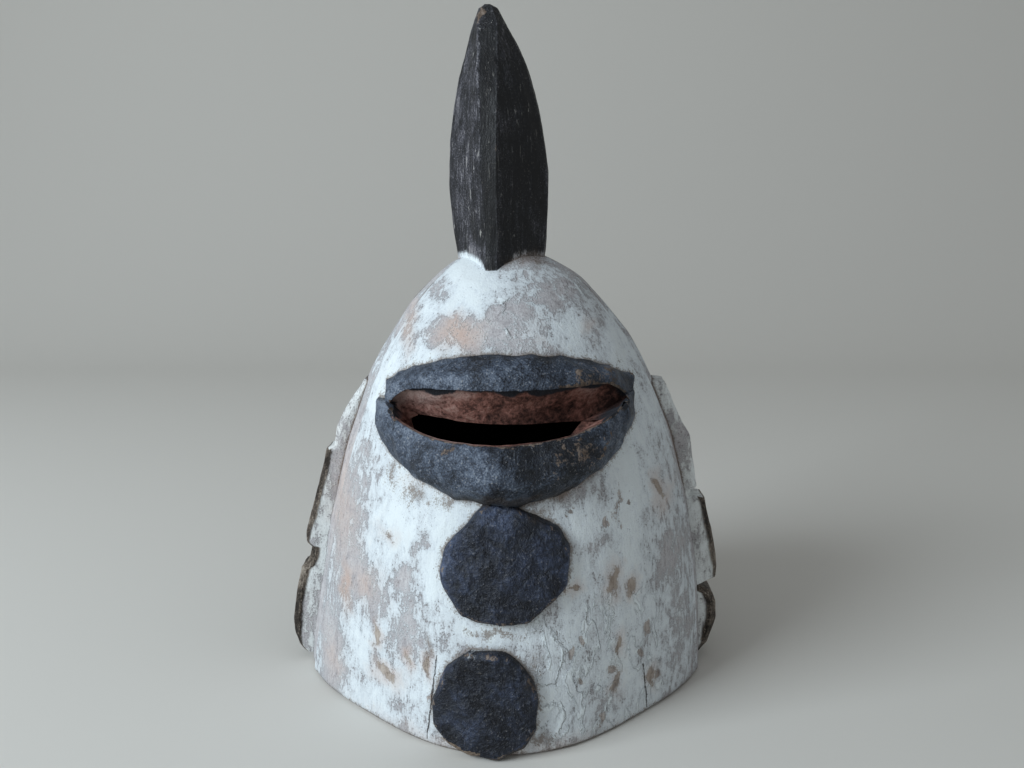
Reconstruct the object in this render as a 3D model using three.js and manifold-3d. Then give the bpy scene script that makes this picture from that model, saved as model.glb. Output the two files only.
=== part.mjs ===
// A helmet mask carved from one block of wood. It stands on its rim: a hollow dome with a raised
// mouth cut right through, two flat bosses under it, a notched comb down each side and a tall,
// leaf-shaped crest. Millimetres, +Z up, and the face of the mask looks along -Y.
import * as THREE from 'three';
import { mergeVertices } from 'three/addons/utils/BufferGeometryUtils.js';
import Module from 'manifold-3d';

const wasm = await Module();
wasm.setup();

// The dome's upright axis stands a little off the middle of the footprint, because the front
// carries the bosses and one comb is wider than the other.
const axis = { x: 1.2, y: 4 };

// The dome is nearly round in plan, with flattened flanks that leave a soft keel down the front.
// Cut by eye, it bulges a few millimetres to one side halfway up.
const dome = {
  height: 251,
  halfWidth: 119.7,
  taper: 0.2,
  crownCurve: 2.95,
  frontDepth: 1.025,
  flankFlatness: 0.1,
  sway: 3.5,
  rimSway: -0.8,
  rimChamfer: 2,
  rings: 26,
  lineEvery: 5,
};

// The white face is a shield with a shallow groove behind its edge, where the dark back of the
// head begins. The edge, or arris, runs up each side. Its angle from the front is given at the
// rim and, for each side, at the height where it starts to die away toward the crown.
const shield = {
  arrisAtRim: 77, arrisHighLeft: 69, arrisHighRight: 74, edgeWidth: 1.5, groove: 2.5,
  grooveAtRim: 1, grooveEnds: 12, fadeFrom: 200, fadeTo: 228,
};

// The hollow is the dome again, smaller, with a flat place carved under the crown.
const hollow = {
  widthScale: 0.883, heightScale: 0.916, crownFlat: 224, belowRim: -5, rings: 15, lineEvery: 10,
};

// The mouth. Heights are measured up from the rim. Everything is cut by eye, so each lip has its
// own middle and rises a little to the right. The roof and the floor of the opening start at a
// share of the way out along each lip. The upper lip's underside slopes down into the wall.
const mouth = {
  middle: 1.3, halfWidth: 62.5, stations: 20, roofStart: 0.6, floorStart: 0.8, cutFront: 40,
  behindWall: 22, lipRoot: -6, leastLip: 2, bluntCorner: 0.5,
};
const slot = { middle: -10, halfWidth: 38, bottom: 149, top: 162, wall: 15 };
const upperLip = {
  middle: 1.3, halfWidth: 67.3, top: 197.8, topTilt: 1, droop: 17.5, droopPower: 2.6, edge: 181.5,
  edgeTilt: 1.4, edgeDroop: 8, edgePower: 6, thick: 9, thickAtEnd: 3, rootDrop: 12,
};
const lowerLip = {
  middle: -1, halfWidth: 69.9, cornerHeight: 165, cornerTilt: 4, drop: 38.5, bendLeft: 1.3,
  bendRight: 1.9, edge: 159.2, edgeTilt: 2.2, edgeRise: 16.7, edgePower: 3, leftEnd: 169,
  rightEnd: 175.5, thick: 17, thickAtEnd: 4, rootDrop: 0,
};

// Each boss is a low slab with an uneven many-sided outline, as cut with a knife. The outline
// is given across and up from its middle.
const bossRaise = { middle: 5, rim: 5.5, root: -6, edge: 1.2 };
const upperBoss = {
  x: 0, z: 98.5,
  outline: [[-10, 28.6], [1, 28.8], [13.3, 22.8], [26, 16], [31, 6.2], [32, -2], [30.4, -11.8],
    [10.8, -28.4], [-14, -28.8], [-23, -25], [-31.6, -12.5], [-32, -6.4], [-30.3, 5.6],
    [-20.6, 17]],
};
const lowerBoss = {
  x: -10.8, z: 29,
  outline: [[-8, 24.6], [2, 24.8], [12, 23.6], [18, 19.3], [24.8, 9.5], [26.6, 0], [25.4, -13.7],
    [20, -21], [5.3, -27.5], [-10, -25.4], [-19, -22.6], [-25.7, -14], [-27.2, -5], [-23.6, 4.6],
    [-18.7, 14.8]],
};

// The combs stand out from the sides. Their outer edges are notched into three teeth, no two
// alike. Each outline runs from the top down, as distance from the axis and height.
const comb = { front: -12, back: 12, chamfer: 3.5, root: 7, rootSteps: 7 };
const leftTeeth = [[83.5, 174.5], [90, 165], [95.5, 156], [100, 146.5], [102.4, 134.5],
  [107.2, 132.5], [110, 120.5], [114, 106.5], [117.8, 92.5], [120.5, 82], [121, 75], [118, 72],
  [119.5, 65.5], [121.5, 61], [124.8, 59], [127.6, 47.5], [129.8, 35], [130.6, 27], [130, 16.5],
  [128, 9], [124, 4.5]];
const rightTeeth = [[86, 174], [93, 173], [98.4, 160.5], [104.5, 147.5], [108.3, 141], [110.8, 128],
  [113.8, 109.5], [110, 107], [110, 104], [118.7, 102.4], [122, 87.5], [125, 76.5], [127.4, 60],
  [126.8, 52.5], [117, 47.5], [125.2, 43], [127.8, 37], [128, 27], [126, 19], [123.4, 11],
  [118, 4.5]];

// The crest is a faceted leaf with a narrow facet along its front and back. It is turned to one
// side, leans a little as it rises, and ends in a rounded tip.
const crest = {
  base: 245, length: 140.5, root: -20, halfWidth: 28, depthShare: 1.07, widest: 0.32, reach: 0.735,
  curve: 1.9, waist: 0.13, facetLow: 3.2, facetHigh: 5.6, facetShare: 0.6, sideFacet: 2.5,
  sideShare: 0.3, turn: 10,
  startX: -3.2, startY: -3, lean: 4, tipLean: 3.5, rings: 15, tipStart: 0.985, tipShare: 0.4,
};

// Passes that find the angle at which the face has a given width.
const settlingPasses = 12;

const finish = { color: 0xc9cbc6, roughness: 0.85, metalness: 0 };

const rad = THREE.MathUtils.degToRad;
const { clamp, lerp, smoothstep } = THREE.MathUtils;

// Half the width of the dome at a height.
function halfWidthAt(z) {
  const t = clamp(z / dome.height, 0, 1);
  return dome.halfWidth * (1 - dome.taper * t) * Math.sqrt(1 - t ** dome.crownCurve);
}

// How far the surface lies from the axis. The angle is measured from the front.
function radiusAt(angle, z) {
  const flat = Math.cos(angle) > 0 ? dome.flankFlatness * (1 - z / dome.height) : 0;
  return halfWidthAt(z) * (1 - flat * Math.sin(2 * angle) ** 2);
}

// How far the middle of the dome lies to one side of the axis at a height.
function swayAt(z) {
  return dome.rimSway + dome.sway * Math.sin((z / dome.height) * Math.PI);
}

// A point on the dome, or pushed out from it along the plan's radius.
function domePoint(angle, z, push = 0) {
  const radius = radiusAt(angle, z);
  const depth = Math.cos(angle) > 0 ? dome.frontDepth : 1;
  return new THREE.Vector3(
    axis.x + swayAt(z) + (radius + push) * Math.sin(angle),
    axis.y - (radius * depth + push) * Math.cos(angle),
    z,
  );
}

// The point of the face at this distance from the axis and this height, pushed out.
function facePoint(x, z, push) {
  let angle = 0;
  for (let pass = 0; pass < settlingPasses; pass += 1) {
    const sine = (x - swayAt(z)) / (radiusAt(angle, z) + push);
    angle = Math.asin(clamp(sine, -1, 1));
  }
  return domePoint(angle, z, push);
}

// The angle of the shield's edge from the front, in degrees. Side is -1 or 1.
function arrisAt(z, side) {
  const high = side < 0 ? shield.arrisHighLeft : shield.arrisHighRight;
  return lerp(shield.arrisAtRim, high, Math.min(z / shield.fadeFrom, 1));
}

// How deep the groove behind the shield's edge is. It is steep at the edge and runs out behind.
function grooveAt(angle, z) {
  const past = THREE.MathUtils.radToDeg(Math.abs(angle)) - arrisAt(z, Math.sign(angle));
  const deep = lerp(shield.grooveAtRim, shield.groove, smoothstep(z, 0, shield.fadeFrom / 2));
  const fade = 1 - smoothstep(z, shield.fadeFrom, shield.fadeTo);
  const edge = clamp(past / shield.edgeWidth, 0, 1);
  return deep * fade * edge * (1 - smoothstep(past, shield.edgeWidth, shield.grooveEnds));
}

// Skins a row of rings that have the same number of points, and closes both ends with a fan.
function loft(rings, firstMiddle, lastMiddle) {
  const count = rings[0].length;
  const points = rings.flat();
  const last = points.length - count;
  const middleOf = (ring) => ring.reduce((sum, p) => sum.add(p), new THREE.Vector3())
    .divideScalar(count);
  points.push(firstMiddle ?? middleOf(rings[0]), lastMiddle ?? middleOf(rings.at(-1)));
  const faces = [];
  for (let side = 0; side < count; side += 1) {
    const next = (side + 1) % count;
    for (let row = 0; row < last; row += count) {
      faces.push(row + side, row + next, row + count + next);
      faces.push(row + side, row + count + next, row + count + side);
    }
    faces.push(points.length - 2, next, side);
    faces.push(points.length - 1, last + side, last + next);
  }
  const geometry = new THREE.BufferGeometry().setFromPoints(points);
  geometry.setIndex(faces);
  return geometry;
}

// Six times the volume inside a closed mesh, negative when its faces point in.
function signedVolume(position, index) {
  const corner = [new THREE.Vector3(), new THREE.Vector3(), new THREE.Vector3()];
  let volume = 0;
  for (let face = 0; face < index.length; face += 3) {
    corner.forEach((point, k) => point.fromBufferAttribute(position, index[face + k]));
    volume += corner[0].dot(corner[1].cross(corner[2]));
  }
  return volume;
}

// Turns a closed geometry into a solid that can be joined and cut.
function solid(geometry) {
  const bare = geometry.index ? geometry.clone() : geometry;
  bare.deleteAttribute('normal');
  bare.deleteAttribute('uv');
  const merged = mergeVertices(bare, 1e-4);
  const triVerts = Uint32Array.from(merged.index.array);
  if (signedVolume(merged.attributes.position, triVerts) < 0) triVerts.reverse();
  const vertProperties = Float32Array.from(merged.attributes.position.array);
  return new wasm.Manifold(new wasm.Mesh({ numProp: 3, vertProperties, triVerts }));
}

// Turns a solid back into a geometry.
function geometryOf(manifold) {
  const mesh = manifold.getMesh();
  const geometry = new THREE.BufferGeometry();
  geometry.setAttribute('position', new THREE.BufferAttribute(mesh.vertProperties, 3));
  geometry.setIndex(new THREE.BufferAttribute(mesh.triVerts, 1));
  geometry.computeVertexNormals();
  return geometry;
}

// The angles of the dome's upright lines at a height. A pair of lines on each side follows the
// edge of the shield, in place of the regular ones it would cross.
function domeLines(z) {
  const lines = [-1, 1].flatMap((side) => {
    const edge = arrisAt(z, side);
    return [side * edge, side * (edge + shield.edgeWidth)];
  });
  for (let angle = -180; angle < 180; angle += dome.lineEvery) {
    const besideEdge = Math.abs(angle) > shield.arrisHighLeft - 1 && Math.abs(angle) < 80;
    if (!besideEdge) lines.push(angle);
  }
  return lines.sort((a, b) => a - b).map(rad);
}

// The outside of the head, ring by ring from the rim to the crown.
function domeSolid() {
  const ring = (z, push) => domeLines(z).map((a) => domePoint(a, z, push - grooveAt(a, z)));
  const rings = [ring(0, -dome.rimChamfer), ring(dome.rimChamfer, 0)];
  for (let row = 1; row < dome.rings; row += 1) {
    const rise = Math.sin((row / dome.rings) * (Math.PI / 2));
    rings.push(ring(dome.height * rise, 0));
  }
  return solid(loft(rings));
}

// The hollow for the wearer's head, open at the rim and flat under the crown.
function hollowSolid() {
  const rings = [];
  for (let row = 0; row <= hollow.rings; row += 1) {
    const rise = Math.sin((row / hollow.rings) * (Math.PI / 2));
    const z = lerp(hollow.belowRim, hollow.crownFlat, rise);
    const ring = [];
    for (let angle = -180; angle < 180; angle += hollow.lineEvery) {
      const point = domePoint(rad(angle), Math.max(z, 0) / hollow.heightScale);
      ring.push(new THREE.Vector3(
        lerp(axis.x, point.x, hollow.widthScale),
        lerp(axis.y, point.y, hollow.widthScale),
        z,
      ));
    }
    rings.push(ring);
  }
  return solid(loft(rings));
}

// How far across a lip a place is, from -1 at its left end to 1 at its right.
function acrossLip({ middle, halfWidth }, x) {
  return clamp((x - middle) / halfWidth, -1, 1);
}

// The four lines of the mouth, as heights across the face.
function upperLipTop(x) {
  const across = acrossLip(upperLip, x);
  const { top, topTilt, droop, droopPower } = upperLip;
  return top + topTilt * across - droop * Math.abs(across) ** droopPower;
}

function upperLipEdge(x) {
  const across = acrossLip(upperLip, x);
  const { edge, edgeTilt, edgeDroop, edgePower } = upperLip;
  return edge + edgeTilt * across - edgeDroop * Math.abs(across) ** edgePower;
}

function lowerLipEdge(x) {
  const across = acrossLip(lowerLip, x);
  const { edge, edgeTilt, edgeRise, edgePower, leftEnd, rightEnd } = lowerLip;
  const height = edge + edgeTilt * across + edgeRise * Math.abs(across) ** edgePower;
  return Math.min(height, across < 0 ? leftEnd : rightEnd);
}

function lowerLipBottom(x) {
  const across = acrossLip(lowerLip, x);
  const { cornerHeight, cornerTilt, drop, bendLeft, bendRight } = lowerLip;
  const bend = across < 0 ? bendLeft : bendRight;
  return cornerHeight + cornerTilt * across - drop * Math.sqrt(1 - Math.abs(across) ** bend);
}

// How far a lip stands out from the face. It is thickest in the middle.
function lipPush(lip, x) {
  const share = Math.abs(acrossLip(lip, x));
  return lerp(lip.thickAtEnd, lip.thick, Math.sqrt(1 - share ** 2.5));
}

// Stations across the face from -1 to 1, closer together toward the corners of the mouth.
function stations() {
  const count = mouth.stations;
  return Array.from({ length: count + 1 }, (_, k) => -Math.cos((k / count) * Math.PI));
}

// A lip is a row of sections across the face. Each section is a ring of points, given as a share
// of the lip's thickness and of the way from its top to its bottom, and rooted in the wall.
function lipSolid(lip, topAt, bottomAt, section) {
  const rings = stations().map((share) => {
    const x = lip.middle + share * (lip.halfWidth - mouth.bluntCorner);
    const push = lipPush(lip, x);
    const top = topAt(x);
    const bottom = Math.min(bottomAt(x), top - mouth.leastLip);
    const ring = section.map(([out, down]) => facePoint(x, lerp(top, bottom, down), out * push));
    const root = facePoint(x, bottom - lip.rootDrop, mouth.lipRoot);
    return [facePoint(x, top, mouth.lipRoot), ...ring, root];
  });
  return solid(loft(rings));
}

// The mouth is a funnel that closes down to a slot through the wall. Its roof slopes down inward.
function mouthSolid() {
  const rings = stations().map((share) => {
    const x = mouth.middle + share * mouth.halfWidth;
    const slotX = slot.middle + share * slot.halfWidth;
    const roof = upperLipEdge(x);
    const floor = lowerLipEdge(x);
    const innerTop = facePoint(slotX, slot.top, -slot.wall);
    const innerBottom = facePoint(slotX, slot.bottom, -slot.wall);
    return [
      facePoint(x, roof, mouth.cutFront),
      facePoint(x, roof, lipPush(upperLip, x) * mouth.roofStart),
      innerTop,
      innerTop.clone().setY(innerTop.y + mouth.behindWall),
      innerBottom.clone().setY(innerBottom.y + mouth.behindWall),
      innerBottom,
      facePoint(x, floor, lipPush(lowerLip, x) * mouth.floorStart),
      facePoint(x, floor, mouth.cutFront),
    ];
  });
  return solid(loft(rings));
}

// A boss follows the curve of the face and stands a few millimetres proud, with a cut edge.
function bossSolid({ x, z, outline }) {
  const ring = (push, inset) => outline.map(([across, up]) => {
    const scale = 1 - inset / Math.hypot(across, up);
    return facePoint(x + across * scale, z + up * scale, push);
  });
  const rings = [
    ring(bossRaise.root, 0),
    ring(bossRaise.rim - bossRaise.edge, 0),
    ring(bossRaise.rim, bossRaise.edge),
  ];
  return solid(loft(rings, facePoint(x, z, bossRaise.root), facePoint(x, z, bossRaise.middle)));
}

// A comb is its toothed outline given a thickness, with every edge chamfered. Side is -1 or 1.
function combSolid(teeth, side) {
  const low = teeth.at(-1)[1];
  const high = teeth[0][1];
  const outline = teeth.map(([out, z]) => new THREE.Vector2(axis.x + side * out, z));
  for (let step = 0; step <= comb.rootSteps; step += 1) {
    const z = lerp(low, high, step / comb.rootSteps);
    outline.push(new THREE.Vector2(axis.x + side * (halfWidthAt(z) - comb.root), z));
  }
  const geometry = new THREE.ExtrudeGeometry(new THREE.Shape(outline), {
    depth: comb.back - comb.front - 2 * comb.chamfer,
    bevelThickness: comb.chamfer,
    bevelSize: comb.chamfer,
    bevelOffset: -comb.chamfer,
    bevelSegments: 1,
  });
  geometry.translate(0, 0, -comb.back + comb.chamfer);
  geometry.rotateX(Math.PI / 2);
  geometry.translate(0, axis.y, 0);
  return solid(geometry);
}

// One level of the crest, at a share of the way up from its base.
function crestRing(share) {
  const { widest, reach, curve, waist } = crest;
  const above = Math.max(0, share - widest) / reach;
  const below = Math.max(0, widest - share) / widest;
  const tip = lerp(1, crest.tipShare, clamp((share - crest.tipStart) / (1 - crest.tipStart), 0, 1));
  const half = tip * crest.halfWidth * (1 - above ** curve)
    * (1 - waist * Math.min(below, 1) ** 2);
  const deep = half * crest.depthShare;
  const facet = Math.min(lerp(crest.facetLow, crest.facetHigh, share), half * crest.facetShare);
  const side = Math.min(crest.sideFacet, deep * crest.sideShare);
  const centreX = crest.startX - crest.lean * share - crest.tipLean * Math.max(0, share) ** 6;
  const turn = rad(-crest.turn);
  const corners = [[-facet, -deep], [facet, -deep], [half, -side], [half, side],
    [facet, deep], [-facet, deep], [-half, side], [-half, -side]];
  return corners.map(([x, y]) => new THREE.Vector3(x, y, 0)
    .applyAxisAngle(new THREE.Vector3(0, 0, 1), turn)
    .add(new THREE.Vector3(
      axis.x + centreX,
      axis.y + crest.startY,
      crest.base + share * crest.length,
    )));
}

// The crest from its root inside the crown to the tip.
function crestSolid() {
  const shares = [crest.root / crest.length];
  for (let k = 0; k <= crest.rings; k += 1) {
    shares.push(Math.sin((k / crest.rings) * (Math.PI / 2)));
  }
  return solid(loft(shares.map(crestRing)));
}

const upperSection = [[0.15, 0], [0.75, 0.16], [1, 0.45], [0.95, 0.85], [0.7, 1]];
const lowerSection = [[0.85, 0], [1, 0.1], [1.05, 0.35], [0.85, 0.65], [0.45, 0.9], [0.1, 1]];

// Everything is one block of wood, so the raised work is joined to the dome before the hollow
// and the mouth are cut.
function maskGeometry() {
  const raised = [
    lipSolid(upperLip, upperLipTop, upperLipEdge, upperSection),
    lipSolid(lowerLip, lowerLipEdge, lowerLipBottom, lowerSection),
    bossSolid(upperBoss),
    bossSolid(lowerBoss),
    combSolid(leftTeeth, -1),
    combSolid(rightTeeth, 1),
    crestSolid(),
  ];
  const block = raised.reduce((whole, piece) => whole.add(piece), domeSolid());
  return geometryOf(block.subtract(hollowSolid()).subtract(mouthSolid()));
}

const mask = new THREE.Mesh(maskGeometry(), new THREE.MeshStandardMaterial(finish));
mask.name = 'mask';

const model = new THREE.Group();
model.add(mask);

export default model;
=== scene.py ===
"""A carved and painted wooden helmet mask, standing on its rim on a plain pale floor.

The mask is one block of wood: a hollow dome with a shield-like face, two lips round a mouth that is
cut right through, two low bosses, a notched comb down each side and a leaf-shaped crest. Sizes are
millimetres until a mesh is made. +Z is up and the face looks along -Y.
"""

import logging
import math
from dataclasses import dataclass
from enum import Enum
from typing import Any, Optional, Sequence

import bmesh
import bpy
import numpy as np
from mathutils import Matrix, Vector
from mathutils.kdtree import KDTree


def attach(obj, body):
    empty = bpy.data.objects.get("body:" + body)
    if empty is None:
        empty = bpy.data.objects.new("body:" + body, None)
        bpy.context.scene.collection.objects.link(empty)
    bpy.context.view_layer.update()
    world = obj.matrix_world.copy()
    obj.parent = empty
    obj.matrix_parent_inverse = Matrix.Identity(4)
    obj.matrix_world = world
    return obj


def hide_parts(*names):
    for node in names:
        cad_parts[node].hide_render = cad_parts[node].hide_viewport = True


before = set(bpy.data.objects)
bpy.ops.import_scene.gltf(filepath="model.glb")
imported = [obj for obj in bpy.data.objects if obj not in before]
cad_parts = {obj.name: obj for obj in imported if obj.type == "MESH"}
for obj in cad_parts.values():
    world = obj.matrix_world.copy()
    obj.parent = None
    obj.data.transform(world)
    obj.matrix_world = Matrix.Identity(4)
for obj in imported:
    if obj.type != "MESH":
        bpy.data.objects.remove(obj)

LOG = logging.getLogger("mask")
# Metres in a millimetre.
METRE = 0.001
PIECE_NAME = "mask_carving"
Array = np.ndarray
Range = tuple[float, float]
Pairs = tuple[tuple[float, float], ...]
Stops = tuple[tuple[float, str], ...]

# Sockets of the shader's Mix node when it mixes values, and when it mixes colours.
VALUE_A, VALUE_B = 2, 3
COLOUR_A, COLOUR_B, COLOUR_OUT = 6, 7, 2


class Zone(Enum):
    """The parts of the surface that are finished differently, in the order of the mesh's materials."""

    DOME = 0
    LIPS = 1
    BOSSES = 2
    COMBS = 3
    CREST = 4
    MOUTH = 5
    HOLLOW = 6


Looks = dict[Zone, bpy.types.Material]


class Cut(Enum):
    """How a body is combined with the block of wood."""

    JOIN = "UNION"
    REMOVE = "DIFFERENCE"


def lerp(start: Any, end: Any, share: Any) -> Any:
    """The value at a share of the way from start to end."""
    return start + (end - start) * share


def smoothstep(value: Any, low: float, high: float) -> Any:
    """A value that is 0 below low and 1 above high, with a smooth rise between them."""
    share = np.clip((np.asarray(value, float) - low) / (high - low), 0, 1)
    return share * share * (3 - 2 * share)


def colour(code: str) -> tuple[float, float, float, float]:
    """Turns an sRGB hex colour into the linear values that a shader takes.

    Args:
        code: Six hex digits, such as "c9cbc6".

    Returns:
        Linear red, green, blue and an alpha of 1.
    """
    parts = [int(code[k:k + 2], 16) / 255 for k in (0, 2, 4)]
    linear = [c / 12.92 if c <= 0.04045 else ((c + 0.055) / 1.055) ** 2.4 for c in parts]
    return (*linear, 1.0)


def add(tree: bpy.types.NodeTree, kind: str, settings: Optional[dict] = None,
        inputs: Optional[dict] = None, output: Any = 0) -> Any:
    """Adds a node with its settings and its links.

    Args:
        tree: The node tree to add to.
        kind: The node's type name.
        settings: Properties to set on the node. "stops" fills a colour ramp with (place, hex) pairs.
        inputs: Values or output sockets for the node's inputs, by name or number.
        output: The output to return, by name or number, or None for the node itself.

    Returns:
        The output socket, or the node.
    """
    node = tree.nodes.new(kind)
    for name, value in (settings or {}).items():
        if name == "stops":
            ramp = node.color_ramp.elements
            while len(ramp) < len(value):
                ramp.new(1.0)
            for stop, (place, code) in zip(ramp, value):
                stop.position = place
                stop.color = colour(code)
        else:
            setattr(node, name, value)
    for key, value in (inputs or {}).items():
        if isinstance(value, bpy.types.NodeSocket):
            tree.links.new(value, node.inputs[key])
        else:
            node.inputs[key].default_value = value
    return node if output is None else node.outputs[output]


def plain_mesh(item: bpy.types.Object) -> None:
    """Replaces an object's mesh by what its modifiers make of it, and removes the modifiers.

    Args:
        item: The object.
    """
    graph = bpy.context.evaluated_depsgraph_get()
    made = bpy.data.meshes.new_from_object(item.evaluated_get(graph))
    item.modifiers.clear()
    item.data = made


def heights_of(item: bpy.types.Object) -> Array:
    """The height of each of an object's points, in millimetres."""
    return np.array([v.co.z for v in item.data.vertices]) / METRE


def rounded(points: Array, spacing: float, softness: float, closed: bool, count: int = 0) -> Array:
    """Resamples a polyline evenly and rounds its corners.

    Args:
        points: The polyline's corners, one row each.
        spacing: Distance between the new points.
        softness: Reach of the rounding along the line.
        closed: Whether the last corner joins the first.
        count: How many points to make, or 0 to go by the spacing.

    Returns:
        The new points, one row each.
    """
    line = np.vstack([points, points[:1]]) if closed else np.asarray(points, float)
    along = np.concatenate([[0], np.cumsum(np.linalg.norm(np.diff(line, axis=0), axis=1))])
    count = count or max(8, int(round(along[-1] / spacing)))
    places = np.linspace(0, along[-1], count, endpoint=not closed)
    even = np.stack([np.interp(places, along, line[:, k]) for k in range(line.shape[1])], axis=1)
    passes = int(round((softness / spacing) ** 2 * 2))
    for _ in range(passes):
        before, after = np.roll(even, 1, axis=0), np.roll(even, -1, axis=0)
        eased = even * 0.5 + (before + after) * 0.25
        if not closed:
            eased[0], eased[-1] = even[0], even[-1]
        even = eased
    return even


class Body:
    """A closed mesh made of rings of points, in millimetres."""

    merge_below: float = 0.02

    def __init__(self, name: str) -> None:
        """Starts an empty body."""
        self.name = name
        self.points: list[Array] = []
        self.faces: list[tuple[int, ...]] = []
        self.rings: list[range] = []

    def _store(self, points: Array) -> range:
        """Keeps some points and returns their numbers."""
        start = sum(len(p) for p in self.points)
        self.points.append(np.asarray(points, float))
        return range(start, start + len(points))

    def ring(self, points: Array) -> None:
        """Adds a ring and skins it to the one before it.

        Args:
            points: The ring's points. It has as many as the last ring, or half as many.
        """
        new = self._store(points)
        if self.rings:
            self._bridge(self.rings[-1], new)
        self.rings.append(new)

    def _bridge(self, low: range, high: range) -> None:
        """Fills the band between two rings.

        Args:
            low: The points of the first ring.
            high: The points of the next one, as many or half as many.
        """
        n, m = len(low), len(high)
        if n == m:
            for k in range(n):
                j = (k + 1) % n
                self.faces.append((low[k], low[j], high[j], high[k]))
            return
        for k in range(m):
            a, b, c = low[2 * k], low[2 * k + 1], low[(2 * k + 2) % n]
            p, q = high[k], high[(k + 1) % m]
            self.faces += [(a, b, p), (b, q, p), (b, c, q)]

    def close(self, first: Optional[Array] = None, last: Optional[Array] = None) -> "Body":
        """Closes both ends with a fan.

        Args:
            first: Middle of the first fan, or None for the middle of the ring.
            last: Middle of the last fan, or None for the middle of the ring.

        Returns:
            This body.
        """
        rings = self.rings
        everything = np.vstack(self.points)
        ends = ((rings[0], first, True), (rings[-1], last, False))
        for ring, middle, flip in ends:
            centre = everything[list(ring)].mean(axis=0) if middle is None else middle
            tip = self._store(np.asarray(centre, float)[None])[0]
            for k in range(len(ring)):
                a, b = ring[k], ring[(k + 1) % len(ring)]
                self.faces.append((tip, b, a) if flip else (tip, a, b))
        return self

    def to_object(self) -> bpy.types.Object:
        """Makes the Blender object, in metres, with its faces pointing out."""
        mesh = bpy.data.meshes.new(self.name)
        mesh.from_pydata((np.vstack(self.points) * METRE).tolist(), [], self.faces)
        form = bmesh.new()
        form.from_mesh(mesh)
        bmesh.ops.remove_doubles(form, verts=form.verts, dist=self.merge_below * METRE)
        if form.calc_volume(signed=True) < 0:
            bmesh.ops.reverse_faces(form, faces=form.faces)
        form.to_mesh(mesh)
        form.free()
        made = bpy.data.objects.new(self.name, mesh)
        bpy.context.scene.collection.objects.link(made)
        return made


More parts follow.
